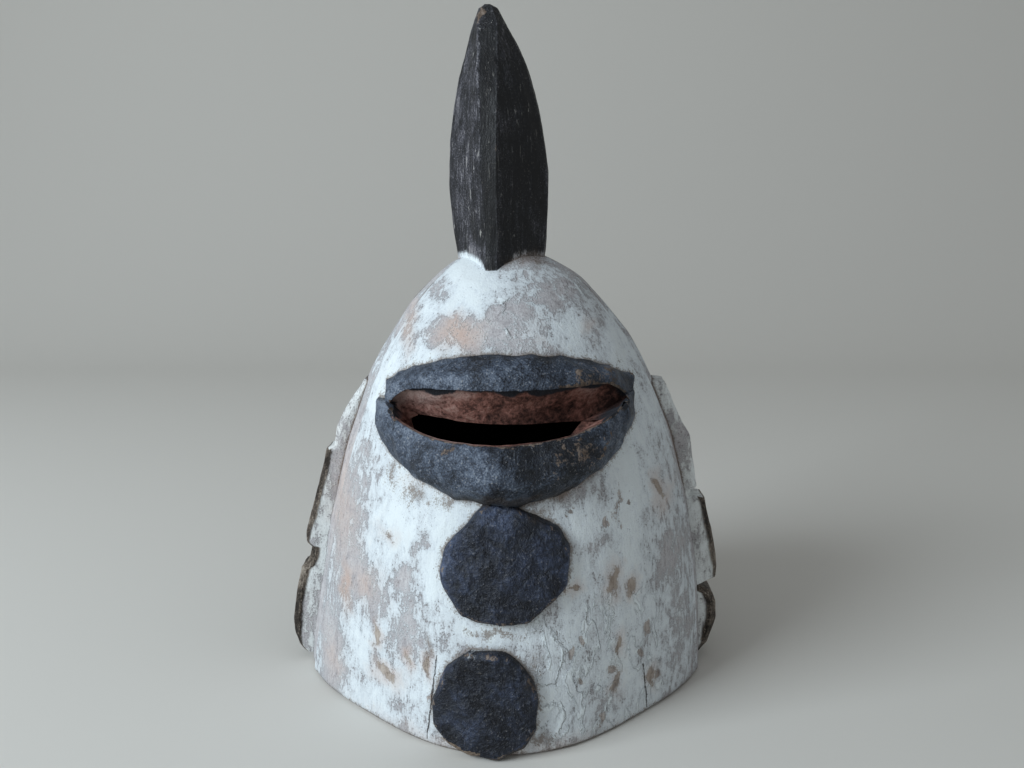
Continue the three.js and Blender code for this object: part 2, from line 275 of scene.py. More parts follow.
@dataclass(frozen=True)
class ToolMarks:
    """The marks that the adze and the knife leave on one zone, with lumps and open grain.

    Sizes and depths are millimetres. Stretch says how many times as tall as wide each mark is.
    """

    mark_size: float
    mark_depth: float
    lump_size: float
    lump_depth: float
    grain_spacing: float = 2.5
    grain_depth: float = 0.0
    stretch: float = 1.0
    seed: float = 0.0

    @staticmethod
    def tree() -> bpy.types.NodeTree:
        """Builds the Geometry Nodes tree that all zones share, once.

        Returns:
            The tree. It moves the surface along its normal by scallops, lumps and grain.
        """
        name = "tool_marks"
        if name in bpy.data.node_groups:
            return bpy.data.node_groups[name]
        tree = bpy.data.node_groups.new(name, "GeometryNodeTree")
        face = tree.interface
        face.new_socket("Geometry", in_out="INPUT", socket_type="NodeSocketGeometry")
        for label in ("Mark size", "Mark depth", "Lump size", "Lump depth", "Grain spacing", "Grain depth",
                      "Stretch", "Seed"):
            face.new_socket(label, in_out="INPUT", socket_type="NodeSocketFloat")
        face.new_socket("Finish", in_out="INPUT", socket_type="NodeSocketMaterial")
        face.new_socket("Geometry", in_out="OUTPUT", socket_type="NodeSocketGeometry")
        given = add(tree, "NodeGroupInput", output=None).outputs
        place = add(tree, "GeometryNodeInputPosition")
        squeeze = add(tree, "ShaderNodeMath", {"operation": "DIVIDE"}, {0: 1.0, 1: given["Stretch"]})
        upright = add(tree, "ShaderNodeCombineXYZ", None, {"X": 1.0, "Y": 1.0, "Z": squeeze})
        squeezed = add(tree, "ShaderNodeVectorMath", {"operation": "MULTIPLY"}, {0: place, 1: upright})

        def over(size: str) -> bpy.types.NodeSocket:
            """Places counted in the size that an input gives."""
            share = add(tree, "ShaderNodeMath", {"operation": "DIVIDE"}, {0: 1.0, 1: given[size]})
            return add(tree, "ShaderNodeVectorMath", {"operation": "SCALE"}, {0: squeezed, "Scale": share})

        # A scallop is lowest in its middle and meets the next one in a ridge.
        cell = add(tree, "ShaderNodeTexVoronoi", {"voronoi_dimensions": "4D"},
                   {"Vector": over("Mark size"), "W": given["Seed"], "Scale": 1.0}, "Distance")
        bowl = add(tree, "ShaderNodeMath", {"operation": "POWER"}, {0: cell, 1: 2.0})
        scallop = add(tree, "ShaderNodeMath", {"operation": "MULTIPLY"}, {0: bowl, 1: given["Mark depth"]})
        height = scallop
        for size, depth, detail in (("Lump size", "Lump depth", 3.0), ("Grain spacing", "Grain depth", 1.0)):
            wave = add(tree, "ShaderNodeTexNoise", {"noise_dimensions": "4D"},
                       {"Vector": over(size), "W": given["Seed"], "Scale": 1.0, "Detail": detail})
            centred = add(tree, "ShaderNodeMath", {"operation": "SUBTRACT"}, {0: wave, 1: 0.5})
            height = add(tree, "ShaderNodeMath", {"operation": "MULTIPLY_ADD"},
                         {0: centred, 1: given[depth], 2: height})
        held = add(tree, "GeometryNodeInputNamedAttribute", {"data_type": "FLOAT"}, {"Name": "held"})
        free = add(tree, "ShaderNodeMath", {"operation": "SUBTRACT"}, {0: 1.0, 1: held})
        lift = add(tree, "ShaderNodeMath", {"operation": "MULTIPLY"}, {0: height, 1: free})
        outward = add(tree, "GeometryNodeInputNormal")
        shift = add(tree, "ShaderNodeVectorMath", {"operation": "SCALE"}, {0: outward, "Scale": lift})
        moved = add(tree, "GeometryNodeSetPosition", None, {"Geometry": given["Geometry"], "Offset": shift})
        real = add(tree, "GeometryNodeRealizeInstances", None, {"Geometry": moved})
        dressed = add(tree, "GeometryNodeSetMaterial", None, {"Geometry": real, "Material": given["Finish"]})
        add(tree, "NodeGroupOutput", None, {"Geometry": dressed}, None)
        return tree

    def carve(self, item: bpy.types.Object, looks: Looks, zone: Zone, held: Optional[Array] = None) -> None:
        """Works the marks into an object and gives it its finish.

        Args:
            item: The object to work on.
            looks: The material of each zone.
            zone: The zone that the object's faces belong to.
            held: How much each point is kept in place, from 0 to 1, or None to move them all.
        """
        mesh = item.data
        keep = np.zeros(len(mesh.vertices)) if held is None else held
        mesh.attributes.new("held", "FLOAT", "POINT").data.foreach_set("value", keep.astype(np.float32))
        modifier = item.modifiers.new("tool_marks", "NODES")
        modifier.node_group = self.tree()
        values = {
            "Mark size": self.mark_size * METRE,
            "Mark depth": self.mark_depth * METRE,
            "Lump size": self.lump_size * METRE,
            "Lump depth": self.lump_depth * METRE,
            "Grain spacing": self.grain_spacing * METRE,
            "Grain depth": self.grain_depth * METRE,
            "Stretch": self.stretch,
            "Seed": self.seed,
            "Finish": looks[zone],
        }
        for socket in modifier.node_group.interface.items_tree:
            if socket.in_out == "INPUT" and socket.name in values:
                modifier[socket.identifier] = values[socket.name]
        plain_mesh(item)
        item.data.attributes.remove(item.data.attributes["held"])
        item.data.materials.clear()
        for material in looks.values():
            item.data.materials.append(material)
        slots = np.full(len(item.data.polygons), zone.value, np.int32)
        item.data.polygons.foreach_set("material_index", slots)


@dataclass(frozen=True)
class Dome:
    """The head-shaped body of the mask, nearly round in plan, with a shield for a face.

    Angles are degrees from the front. The groove lies behind the shield's edge, the arris, which has a
    bead. Toward the crown the rings have half, then a quarter of the points, below the half widths in
    thin_out_at. The rim's lowest millimetres have no tool marks, so the mask stands flat.
    """

    axis_x: float = 1.2
    axis_y: float = 4.0
    height: float = 251.0
    half_width: float = 119.7
    taper: float = 0.2
    crown_curve: float = 2.95
    front_depth: float = 1.025
    flank_flatness: float = 0.1
    sway: float = 3.5
    rim_sway: float = -0.8
    rim_chamfer: float = 2.0
    chamfer_middle: Range = (0.25, 0.45)
    arris_at_rim: float = 77.0
    arris_high_left: float = 69.0
    arris_high_right: float = 74.0
    edge_width: float = 1.5
    groove: float = 2.5
    groove_at_rim: float = 1.0
    groove_ends: float = 12.0
    bead: float = 0.8
    bead_high: float = 0.3
    bead_width: float = 1.7
    bead_stops: float = 0.1
    bead_thins: Range = (60.0, 150.0)
    fade_from: float = 200.0
    fade_to: float = 228.0
    front_spacing: float = 1.75
    back_spacing: float = 3.6
    front_reach: float = 100.0
    thin_out_at: Range = (78.0, 38.0)
    settling_passes: int = 12
    least_radius: float = 0.001
    outline_samples: int = 2000
    crown_gap: float = 0.6
    flat_rim: Range = (0.2, 4.0)
    marks: ToolMarks = ToolMarks(22.0, 1.3, 45.0, 1.6, 3.0, 0.16, 1.6, 1.0)

    def half_width_at(self, z: Array) -> Array:
        """Half the width of the dome at a height."""
        t = np.clip(np.asarray(z, float) / self.height, 0, 1)
        return self.half_width * (1 - self.taper * t) * np.sqrt(1 - t ** self.crown_curve)

    def radius_at(self, angle: Array, z: Array) -> Array:
        """How far the surface lies from the axis, before the front is made deeper."""
        flat = np.where(np.cos(angle) > 0, self.flank_flatness * (1 - np.asarray(z) / self.height), 0)
        return self.half_width_at(z) * (1 - flat * np.sin(2 * angle) ** 2)

    def sway_at(self, z: Array) -> Array:
        """How far the middle of the dome lies to one side of the axis."""
        return self.rim_sway + self.sway * np.sin(np.asarray(z, float) / self.height * math.pi)

    def point(self, angle: Array, z: Array, push: Array = 0.0) -> Array:
        """Points on the dome, or pushed out from it.

        Args:
            angle: Angles from the front, in radians.
            z: Heights.
            push: Distance out along the plan's radius.

        Returns:
            The points, with x, y and z in the last axis.
        """
        angle, z, push = np.broadcast_arrays(angle, z, push)
        radius = self.radius_at(angle, z)
        depth = np.where(np.cos(angle) > 0, self.front_depth, 1.0)
        return np.stack([
            self.axis_x + self.sway_at(z) + (radius + push) * np.sin(angle),
            self.axis_y - (radius * depth + push) * np.cos(angle),
            z,
        ], axis=-1)

    def face_point(self, x: Array, z: Array, push: Array = 0.0) -> Array:
        """Points of the face at these distances from the axis and heights.

        Args:
            x: Distances to the right of the axis, as seen from the front.
            z: Heights.
            push: Distance out along the plan's radius.

        Returns:
            The points, with x, y and z in the last axis.
        """
        x, z, push = np.broadcast_arrays(np.asarray(x, float), z, push)
        angle = np.zeros(x.shape)
        for _ in range(self.settling_passes):
            radius = np.maximum(self.radius_at(angle, z) + push, self.least_radius)
            angle = np.arcsin(np.clip((x - self.sway_at(z)) / radius, -1, 1))
        return self.point(angle, z, push)

    def angle_of(self, points: Array) -> Array:
        """The angle of each point from the front, in degrees, as the dome counts it."""
        across = points[:, 0] - self.axis_x - self.sway_at(points[:, 2])
        ahead = self.axis_y - points[:, 1]
        return np.degrees(np.arctan2(across, np.where(ahead > 0, ahead / self.front_depth, ahead)))

    def arris_at(self, z: Array, side: Array) -> Array:
        """The angle of the shield's edge from the front. Side is -1 or 1."""
        high = np.where(np.asarray(side) < 0, self.arris_high_left, self.arris_high_right)
        return lerp(self.arris_at_rim, high, np.minimum(np.asarray(z) / self.fade_from, 1))

    def groove_at(self, angle: Array, z: Array) -> Array:
        """How deep the groove behind the shield's edge is, less the bead on the edge itself.

        Args:
            angle: Angles from the front, in degrees.
            z: Heights.

        Returns:
            Depths below the dome's surface.
        """
        past = np.abs(angle) - self.arris_at(z, np.sign(angle))
        deep = lerp(self.groove_at_rim, self.groove, smoothstep(z, 0, self.fade_from / 2))
        fade = 1 - smoothstep(z, self.fade_from, self.fade_to)
        edge = np.clip(past / self.edge_width, 0, 1)
        bead = lerp(self.bead, self.bead_high, smoothstep(z, *self.bead_thins))
        ridge = bead * np.clip(1 + past / self.bead_width, 0, 1) * (past < self.bead_stops)
        return fade * (deep * edge * (1 - smoothstep(past, self.edge_width, self.groove_ends)) - ridge)

    def lines(self) -> Array:
        """Places of the upright lines round the dome, in degrees, close together in front."""
        near = math.degrees(self.front_spacing / self.half_width)
        far = math.degrees(self.back_spacing / self.half_width)
        front = np.arange(-self.front_reach, self.front_reach, near)
        back_count = 4 * round((360 - 2 * self.front_reach) / far / 4)
        spare = (len(front) + back_count) % 4
        back = np.linspace(self.front_reach, 360 - self.front_reach, back_count - spare, endpoint=False)
        return np.concatenate([front, back])

    def angles_at(self, lines: Array, z: float) -> Array:
        """Bends the upright lines so that one on each side runs along the arris.

        Args:
            lines: The lines' places at the rim, in degrees.
            z: The height to give their places for.

        Returns:
            Angles from the front, in degrees.
        """
        turned = np.where(lines > 180, lines - 360, lines)
        side, away = np.sign(turned), np.abs(turned)
        arris = self.arris_at(z, side)
        inside = away * arris / self.arris_at_rim
        outside = arris + (away - self.arris_at_rim) * (180 - arris) / (180 - self.arris_at_rim)
        return side * np.where(away < self.arris_at_rim, inside, outside)

    def heights(self) -> Array:
        """Heights of the rings, evenly spaced along the dome's outline."""
        z = self.height * np.sin(np.linspace(0, math.pi / 2, self.outline_samples))
        outline = np.stack([self.half_width_at(z), z], axis=1)
        along = np.concatenate([[0], np.cumsum(np.linalg.norm(np.diff(outline, axis=0), axis=1))])
        first, last = self.rim_chamfer + self.front_spacing, along[-1] - self.crown_gap
        return np.interp(np.arange(first, last, self.front_spacing), along, z)

    def build(self, looks: Looks) -> bpy.types.Object:
        """Makes the outside of the head, ring by ring from the rim to the crown.

        Args:
            looks: The material of each zone.

        Returns:
            The dome as a solid body.
        """
        body = Body("dome")
        lines = self.lines()
        chamfer = self.rim_chamfer
        up, back = self.chamfer_middle
        levels = [(0.0, -chamfer), (up * chamfer, -back * chamfer), (chamfer, 0.0)]
        levels += [(z, 0.0) for z in self.heights()]
        for z, push in levels:
            width = float(self.half_width_at(z))
            step = 2 ** sum(width < limit for limit in self.thin_out_at)
            angle = self.angles_at(lines, z)[::step]
            body.ring(self.point(np.radians(angle), z, push - self.groove_at(angle, z)))
        made = body.close().to_object()
        self.marks.carve(made, looks, Zone.DOME, 1 - smoothstep(heights_of(made), *self.flat_rim))
        return made


@dataclass(frozen=True)
class Hollow:
    """The room for the wearer's head: the dome again, smaller, with a flat place under the crown.

    The rim and the flat place have no tool marks. The outline from the rim to the crown is about
    outline_share times as long as it is high.
    """

    dome: Dome
    width_scale: float = 0.883
    height_scale: float = 0.916
    crown_flat: float = 224.0
    below_rim: float = -5.0
    spacing: float = 5.2
    outline_share: float = 1.25
    edge_break: float = 1.2
    flat_rim: Range = (0.0, 5.0)
    flat_crown: Range = (222.0, 223.9)
    marks: ToolMarks = ToolMarks(17.0, 1.6, 40.0, 1.2, 3.0, 0.2, 1.5, 5.0)

    def build(self, looks: Looks) -> bpy.types.Object:
        """Makes the body that is cut out of the block.

        Args:
            looks: The material of each zone.

        Returns:
            The hollow as a solid body.
        """
        dome = self.dome
        around = int(2 * math.pi * dome.half_width * self.width_scale / self.spacing)
        angle = np.linspace(-math.pi, math.pi, around, endpoint=False)
        rows = int(self.outline_share * self.crown_flat / self.spacing)
        rises = np.sin(np.linspace(0, math.pi / 2, rows))[1:]
        heights = [self.below_rim, 0.0, self.edge_break, *(self.crown_flat * rises)]
        body = Body("hollow")
        for z in heights:
            ring = dome.point(angle, max(z, 0.0) / self.height_scale)
            flare = max(0.0, self.edge_break - max(z, 0.0)) / dome.half_width
            middle = np.array([dome.axis_x, dome.axis_y])
            flat = lerp(middle, ring[:, :2], self.width_scale + flare)
            body.ring(np.column_stack([flat, np.full(len(angle), z)]))
        made = body.close().to_object()
        height = heights_of(made)
        held = np.maximum(1 - smoothstep(height, *self.flat_rim), smoothstep(height, *self.flat_crown))
        self.marks.carve(made, looks, Zone.HOLLOW, held)
        return made


@dataclass(frozen=True)
class Lip:
    """One lip: a row of sections across the face, rooted in the wall.

    The section gives a share of the lip's thickness and of the way from its top to its bottom. The
    lip is cut by eye, so it has its own middle and its ends differ. Station_share is how many sections
    it has for each spacing in its half width, and fullness says how far out its thick part reaches.
    """

    dome: Dome
    middle: float
    half_width: float
    thick: float
    thick_at_end: float
    root_drop: float
    section: Pairs
    root: float = -6.0
    blunt_corner: float = 0.5
    least: float = 2.0
    fullness: float = 2.5
    spacing: float = 1.25
    station_share: float = 2.3
    softness: float = 1.1
    marks: ToolMarks = ToolMarks(11.0, 2.4, 13.0, 1.5, 1.8, 0.6, 1.0, 2.0)

    def across(self, x: Array) -> Array:
        """How far across the lip a place is, from -1 at its left end to 1 at its right."""
        return np.clip((np.asarray(x, float) - self.middle) / self.half_width, -1, 1)

    def top_at(self, x: Array) -> Array:
        """Height of the lip's upper line."""
        raise NotImplementedError

    def bottom_at(self, x: Array) -> Array:
        """Height of the lip's lower line."""
        raise NotImplementedError

    def push_at(self, x: Array) -> Array:
        """How far the lip stands out from the face. It is thickest in the middle."""
        share = np.abs(self.across(x))
        return lerp(self.thick_at_end, self.thick, np.sqrt(1 - share ** self.fullness))

    def build(self, name: str, looks: Looks) -> bpy.types.Object:
        """Makes the lip.

        Args:
            name: Name of the body.
            looks: The material of each zone.

        Returns:
            The lip as a solid body.
        """
        widest = self.half_width - self.blunt_corner
        count = int(self.station_share * self.half_width / self.spacing)
        stations = self.middle - np.cos(np.linspace(0.0, math.pi, count)) * widest
        height = float(np.max(self.top_at(stations) - self.bottom_at(stations)))
        scale = np.array([self.thick, height])
        path = rounded(np.array(self.section) * scale, self.spacing, self.softness, False) / scale
        body = Body(name)
        for x in stations:
            top = float(self.top_at(x))
            bottom = min(float(self.bottom_at(x)), top - self.least)
            push = float(self.push_at(x))
            skin = self.dome.face_point(x, lerp(top, bottom, path[:, 1]), path[:, 0] * push)
            roots = self.dome.face_point(x, np.array([top, bottom - self.root_drop]), self.root)
            body.ring(np.vstack([roots[:1], skin, roots[1:]]))
        made = body.close().to_object()
        self.marks.carve(made, looks, Zone.LIPS)
        return made


@dataclass(frozen=True)
class UpperLip(Lip):
    """The upper lip, a band that droops at both ends. Its underside slopes down into the wall."""

    middle: float = 1.3
    half_width: float = 67.3
    thick: float = 9.0
    thick_at_end: float = 3.0
    root_drop: float = 12.0
    section: Pairs = ((0.15, 0.0), (0.75, 0.16), (1.0, 0.45), (0.95, 0.85), (0.7, 1.0))
    top: float = 197.8
    top_tilt: float = 1.0
    droop: float = 17.5
    droop_power: float = 2.6
    edge: float = 181.5
    edge_tilt: float = 1.4
    edge_droop: float = 15.0
    edge_power: float = 9.0

    def top_at(self, x: Array) -> Array:
        """Height of the lip's upper line."""
        across = self.across(x)
        return self.top + self.top_tilt * across - self.droop * np.abs(across) ** self.droop_power

    def bottom_at(self, x: Array) -> Array:
        """Height of the lip's lower line, the edge of the mouth."""
        across = self.across(x)
        return self.edge + self.edge_tilt * across - self.edge_droop * np.abs(across) ** self.edge_power


@dataclass(frozen=True)
class LowerLip(Lip):
    """The lower lip, a deep curved band that holds the mouth like a boat, with blunt ends."""

    middle: float = -1.0
    half_width: float = 69.9
    thick: float = 17.0
    thick_at_end: float = 4.0
    root_drop: float = 0.0
    section: Pairs = ((0.85, 0.0), (1.0, 0.1), (1.05, 0.35), (0.85, 0.65), (0.45, 0.9), (0.1, 1.0))
    corner_height: float = 165.0
    corner_tilt: float = 4.0
    drop: float = 38.5
    bend_left: float = 1.3
    bend_right: float = 1.9
    edge: float = 159.2
    edge_tilt: float = 2.2
    edge_rise: float = 16.7
    edge_power: float = 3.0
    left_end: float = 170.0
    right_end: float = 175.5
    keel_at: float = -4.0
    keel: float = 3.4
    keel_reach: float = 17.0

    def push_at(self, x: Array) -> Array:
        """How far the lip stands out from the face, with a keel near its middle."""
        ridge = np.clip(1 - np.abs(np.asarray(x, float) - self.keel_at) / self.keel_reach, 0, 1)
        return super().push_at(x) + self.keel * ridge

    def top_at(self, x: Array) -> Array:
        """Height of the lip's upper line, the edge of the mouth."""
        across = self.across(x)
        height = self.edge + self.edge_tilt * across + self.edge_rise * np.abs(across) ** self.edge_power
        return np.minimum(height, np.where(across < 0, self.left_end, self.right_end))

    def bottom_at(self, x: Array) -> Array:
        """Height of the lip's lower line."""
        across = self.across(x)
        bend = np.where(across < 0, self.bend_left, self.bend_right)
        hang = self.drop * np.sqrt(1 - np.abs(across) ** bend)
        return self.corner_height + self.corner_tilt * across - hang


@dataclass(frozen=True)
class Mouth:
    """The funnel between the lips, which closes down to a slot through the wall.

    Each section is a loop of straight sides, from the open front along the roof to the slot and back along
    the floor, with side_points on each. The corners and the floor keep most of their shape: tool marks
    fade out over calm_ends, beside the half width, and are weaker below calm_floor.
    """

    dome: Dome
    upper: UpperLip
    lower: LowerLip
    middle: float = 1.3
    half_width: float = 64.3
    roof_start: float = 0.6
    floor_start: float = 0.8
    cut_front: float = 40.0
    behind_wall: float = 22.0
    slot_middle: float = -10.0
    slot_half_width: float = 38.0
    slot_bottom: float = 149.0
    slot_top: float = 162.0
    wall: float = 15.0
    spacing: float = 1.5
    station_share: float = 2.2
    side_points: tuple[int, ...] = (1, 16, 8, 5, 8, 16, 1)
    clearance: float = 0.5
    calm_ends: Range = (-9.0, -2.0)
    calm_floor: Range = (164.0, 170.0)
    floor_calm: float = 0.75
    marks: ToolMarks = ToolMarks(10.0, 1.4, 9.0, 1.6, 2.5, 0.4, 1.0, 3.0)

    def build(self, looks: Looks) -> bpy.types.Object:
        """Makes the body that is cut out between the lips.

        Args:
            looks: The material of each zone.

        Returns:
            The opening as a solid body.
        """
        count = int(self.station_share * self.half_width / self.spacing)
        body = Body("mouth")
        for share in -np.cos(np.linspace(0.0, math.pi, count)):
            x = self.middle + share * self.half_width
            slot_x = self.slot_middle + share * self.slot_half_width
            roof = float(self.upper.bottom_at(x)) + self.clearance
            floor = min(float(self.lower.top_at(x)) - self.clearance, roof - self.clearance)
            high = self.dome.face_point(slot_x, self.slot_top, -self.wall)
            low = self.dome.face_point(slot_x, self.slot_bottom, -self.wall)
            back = np.array([0.0, self.behind_wall, 0.0])
            corners = [
                self.dome.face_point(x, roof, self.cut_front),
                self.dome.face_point(x, roof, self.upper.push_at(x) * self.roof_start),
                high, high + back, low + back, low,
                self.dome.face_point(x, floor, self.lower.push_at(x) * self.floor_start),
                self.dome.face_point(x, floor, self.cut_front),
            ]
            ring = [corners[-1][None]]
            for start, end, parts in zip(corners[:-1], corners[1:], self.side_points):
                ring.append(lerp(start, end, np.linspace(0, 1, parts, endpoint=False)[:, None]))
            body.ring(np.vstack(ring))
        made = body.close().to_object()
        places = np.array([v.co for v in made.data.vertices]) / METRE
        aside = np.abs(places[:, 0] - self.middle) - self.half_width
        low = self.floor_calm * (1 - smoothstep(places[:, 2], *self.calm_floor))
        self.marks.carve(made, looks, Zone.MOUTH, np.maximum(smoothstep(aside, *self.calm_ends), low))
        return made


@dataclass(frozen=True)
class Boss:
    """A low slab with an uneven many-sided outline, given across and up from its middle.

    The inner rings have half, then a quarter of the points, inside the shares of the way out in
    thin_out_at.
    """

    dome: Dome
    x: float
    z: float
    outline: Pairs
    middle: float = 5.0
    rim: float = 5.5
    root: float = -6.0
    edge: float = 1.2
    edge_middle: Range = (0.45, 0.3)
    wall_middle: float = 0.35
    spacing: float = 1.3
    softness: float = 0.9
    thin_out_at: Range = (0.5, 0.22)
    marks: ToolMarks = ToolMarks(12.0, 1.8, 7.0, 1.2, 2.2, 0.5, 1.0, 4.0)

    def build(self, name: str, looks: Looks) -> bpy.types.Object:
        """Makes the boss, from its root in the wall over its edge to its middle.

        Args:
            name: Name of the body.
            looks: The material of each zone.

        Returns:
            The boss as a solid body.
        """
        line = rounded(np.array(self.outline), self.spacing, self.softness, True)
        line = line[:len(line) // 4 * 4]
        reach = np.linalg.norm(line, axis=1, keepdims=True)

        def ring(push: float, scale: Array) -> Array:
            """One ring of the boss, its outline scaled and pushed out."""
            flat = line * scale
            return self.dome.face_point(self.x + flat[:, 0], self.z + flat[:, 1], push)

        body = Body(name)
        down, inward = (self.edge * share for share in self.edge_middle)
        wall = [(self.root, 0.0), (0.0, 0.0), (self.wall_middle * self.rim, 0.0),
                (self.rim - self.edge, 0.0), (self.rim - down, inward), (self.rim, self.edge)]
        for push, inset in wall:
            body.ring(ring(push, 1 - inset / reach))
        rows = int(float(reach.mean()) / self.spacing)
        inner = 1 - self.edge / reach
        for row in range(1, rows):
            share = 1 - row / rows
            push = lerp(self.middle, self.rim, share ** 2)
            step = 2 ** sum(share < limit for limit in self.thin_out_at)
            body.ring(ring(push, inner * share)[::step])
        top = self.dome.face_point(self.x, self.z, self.middle)
        made = body.close(self.dome.face_point(self.x, self.z, self.root), top).to_object()
        self.marks.carve(made, looks, Zone.BOSSES)
        return made


@dataclass(frozen=True)
class Comb:
    """A comb down one side, with an outer edge notched into uneven teeth.

    The teeth run from the top down, as distance from the axis and height. Side is -1 or 1. The lower
    teeth are edged with black bands, each given by its lowest and highest place and its width. A band
    starts at narrow_foot of its width and has all of it from band_opens of the way up.
    """

    dome: Dome
    side: int
    teeth: Pairs
    bands: tuple[tuple[float, float, float], ...]
    front: float = -12.0
    back: float = 12.0
    chamfer: float = 3.5
    chamfer_drop: float = 0.5
    root: float = 7.0
    least_depth: float = 4.0
    spacing: float = 1.7
    softness: float = 0.8
    edge_points: int = 18
    face_points: int = 18
    least_fall: float = 0.001
    blackest: float = 0.9
    back_turn: Range = (-0.1, 0.3)
    narrow_foot: float = 0.35
    band_opens: float = 0.35
    band_border: Range = (-2.0, 3.0)
    marks: ToolMarks = ToolMarks(10.0, 0.9, 16.0, 1.5, 2.5, 0.2, 1.3, 6.0)

    def build(self, name: str, looks: Looks) -> bpy.types.Object:
        """Makes the comb, section by section down its outline.

        Args:
            name: Name of the body.
            looks: The material of each zone.

        Returns:
            The comb as a solid body.
        """
        line = rounded(np.array(self.teeth), self.spacing, self.softness, False)
        line[:, 1] = np.minimum.accumulate(line[:, 1] - np.arange(len(line)) * self.least_fall)
        normal = np.gradient(line, axis=0) @ np.array([[0.0, -1.0], [1.0, 0.0]])
        normal /= np.linalg.norm(normal, axis=1, keepdims=True)
        normal *= np.sign(normal[:, :1].sum())
        body = Body(name)
        for (out, z), (across, up) in zip(line, normal):
            inner = out - self.chamfer * abs(across)
            inner_z = z - self.chamfer * up * self.chamfer_drop
            deep = min(float(self.dome.half_width_at(z)) - self.root, inner - self.least_depth)
            reach = np.linspace(deep, inner, self.face_points)
            rise = np.linspace(z, inner_z, self.face_points)
            edge = [(inner, inner_z, self.front), (out, z, self.front + self.chamfer),
                    (out, z, self.back - self.chamfer), (inner, inner_z, self.back)]
            edge = rounded(np.array(edge), self.spacing, self.softness, False, self.edge_points)
            front = np.column_stack([reach, rise, np.full(self.face_points, self.front)])[:-1]
            behind = np.column_stack([reach, rise, np.full(self.face_points, self.back)])[::-1][1:]
            loop = np.vstack([front, edge, behind])
            body.ring(np.column_stack([
                self.dome.axis_x + self.side * loop[:, 0],
                self.dome.axis_y + loop[:, 2],
                loop[:, 1],
            ]))
        made = body.close().to_object()
        self.marks.carve(made, looks, Zone.COMBS)
        return made

    def soot_at(self, points: Array, normals: Array) -> Array:
        """How black the comb is: its bands and its back are, the rest of it is white.

        Args:
            points: Places on the comb.
            normals: The surface's directions there.

        Returns:
            One value for each place, from 0, white, to 1, black.
        """
        line = np.array(self.teeth)[::-1]
        height = points[:, 2]
        inward = np.interp(height, line[:, 1], line[:, 0]) - np.abs(points[:, 0] - self.dome.axis_x)
        soot = self.blackest * smoothstep(normals[:, 1], *self.back_turn)
        for low, high, width in self.bands:
            there = (height > low) & (height < high)
            opening = smoothstep(height - low, 0.0, self.band_opens * (high - low))
            past = inward - width * lerp(self.narrow_foot, 1.0, opening)
            band = self.blackest * (1 - smoothstep(past, *self.band_border))
            soot = np.where(there, np.maximum(soot, band), soot)
        return soot


@dataclass(frozen=True)
class Crest:
    """The faceted leaf on the crown, turned to one side and leaning a little as it rises.

    Shares run from 0 at its base to 1 at its tip. The facets are the flat strips down its front and its
    back, and the narrower ones down its sides. Its foot is deeper from front to back.
    """

    dome: Dome
    base: float = 245.0
    length: float = 140.5
    root: float = -20.0
    half_width: float = 28.0
    depth_share: float = 1.07
    widest: float = 0.32
    reach: float = 0.735
    curve: float = 1.9
    waist: float = 0.13
    facet_low: float = 3.2
    facet_high: float = 5.6
    facet_share: float = 0.6
    side_facet: float = 2.5
    side_share: float = 0.3
    turn: float = 10.0
    start_x: float = -3.2
    start_y: float = -3.0
    lean: float = 4.0
    tip_lean: float = 3.5
    tip_lean_power: int = 6
    tip_start: float = 0.985
    tip_share: float = 0.4
    spacing: float = 1.45
    side_points: tuple[int, ...] = (5, 17, 3, 17, 5, 17, 3, 17)
    crowding: float = 0.9
    foot: float = 6.0
    foot_height: float = 0.12
    marks: ToolMarks = ToolMarks(12.0, 1.5, 20.0, 1.3, 1.9, 0.5, 3.0, 7.0)

    def section(self, share: float) -> Array:
        """The corners of the crest's outline at a share of the way up, as x, y and z.

        Args:
            share: 0 at the base and 1 at the tip.

        Returns:
            Eight corners.
        """
        above = max(0.0, share - self.widest) / self.reach
        below = min(max(0.0, self.widest - share) / self.widest, 1.0)
        tip = lerp(1.0, self.tip_share, max(0.0, share - self.tip_start) / (1 - self.tip_start))
        half = tip * self.half_width * (1 - above ** self.curve) * (1 - self.waist * below ** 2)
        deep = half * self.depth_share + self.foot * max(0.0, 1 - max(share, 0.0) / self.foot_height) ** 2
        facet = min(lerp(self.facet_low, self.facet_high, share), half * self.facet_share)
        side = min(self.side_facet, deep * self.side_share)
        corners = np.array([[-facet, -deep], [facet, -deep], [half, -side], [half, side], [facet, deep],
                            [-facet, deep], [-half, side], [-half, -side]])
        angle = math.radians(-self.turn)
        spin = np.array([[math.cos(angle), math.sin(angle)], [-math.sin(angle), math.cos(angle)]])
        middle = self.start_x - self.lean * share - self.tip_lean * max(0.0, share) ** self.tip_lean_power
        flat = corners @ spin + np.array([self.dome.axis_x + middle, self.dome.axis_y + self.start_y])
        return np.column_stack([flat, np.full(len(flat), self.base + share * self.length)])

    def build(self, looks: Looks) -> bpy.types.Object:
        """Makes the crest from its root inside the crown to the tip.

        Args:
            looks: The material of each zone.

        Returns:
            The crest as a solid body.
        """
        rows = int((self.length - self.root) / self.spacing)
        start = self.root / self.length
        body = Body("crest")
        for row in range(rows + 1):
            share = start + (1 - start) * math.sin(row / rows * math.pi / 2) ** self.crowding
            corners = self.section(share)
            sides = zip(corners, np.roll(corners, -1, axis=0), self.side_points)
            body.ring(np.vstack([lerp(first, second, np.linspace(0, 1, count, endpoint=False)[:, None])
                                 for first, second, count in sides]))
        made = body.close().to_object()
        self.marks.carve(made, looks, Zone.CREST)
        return made


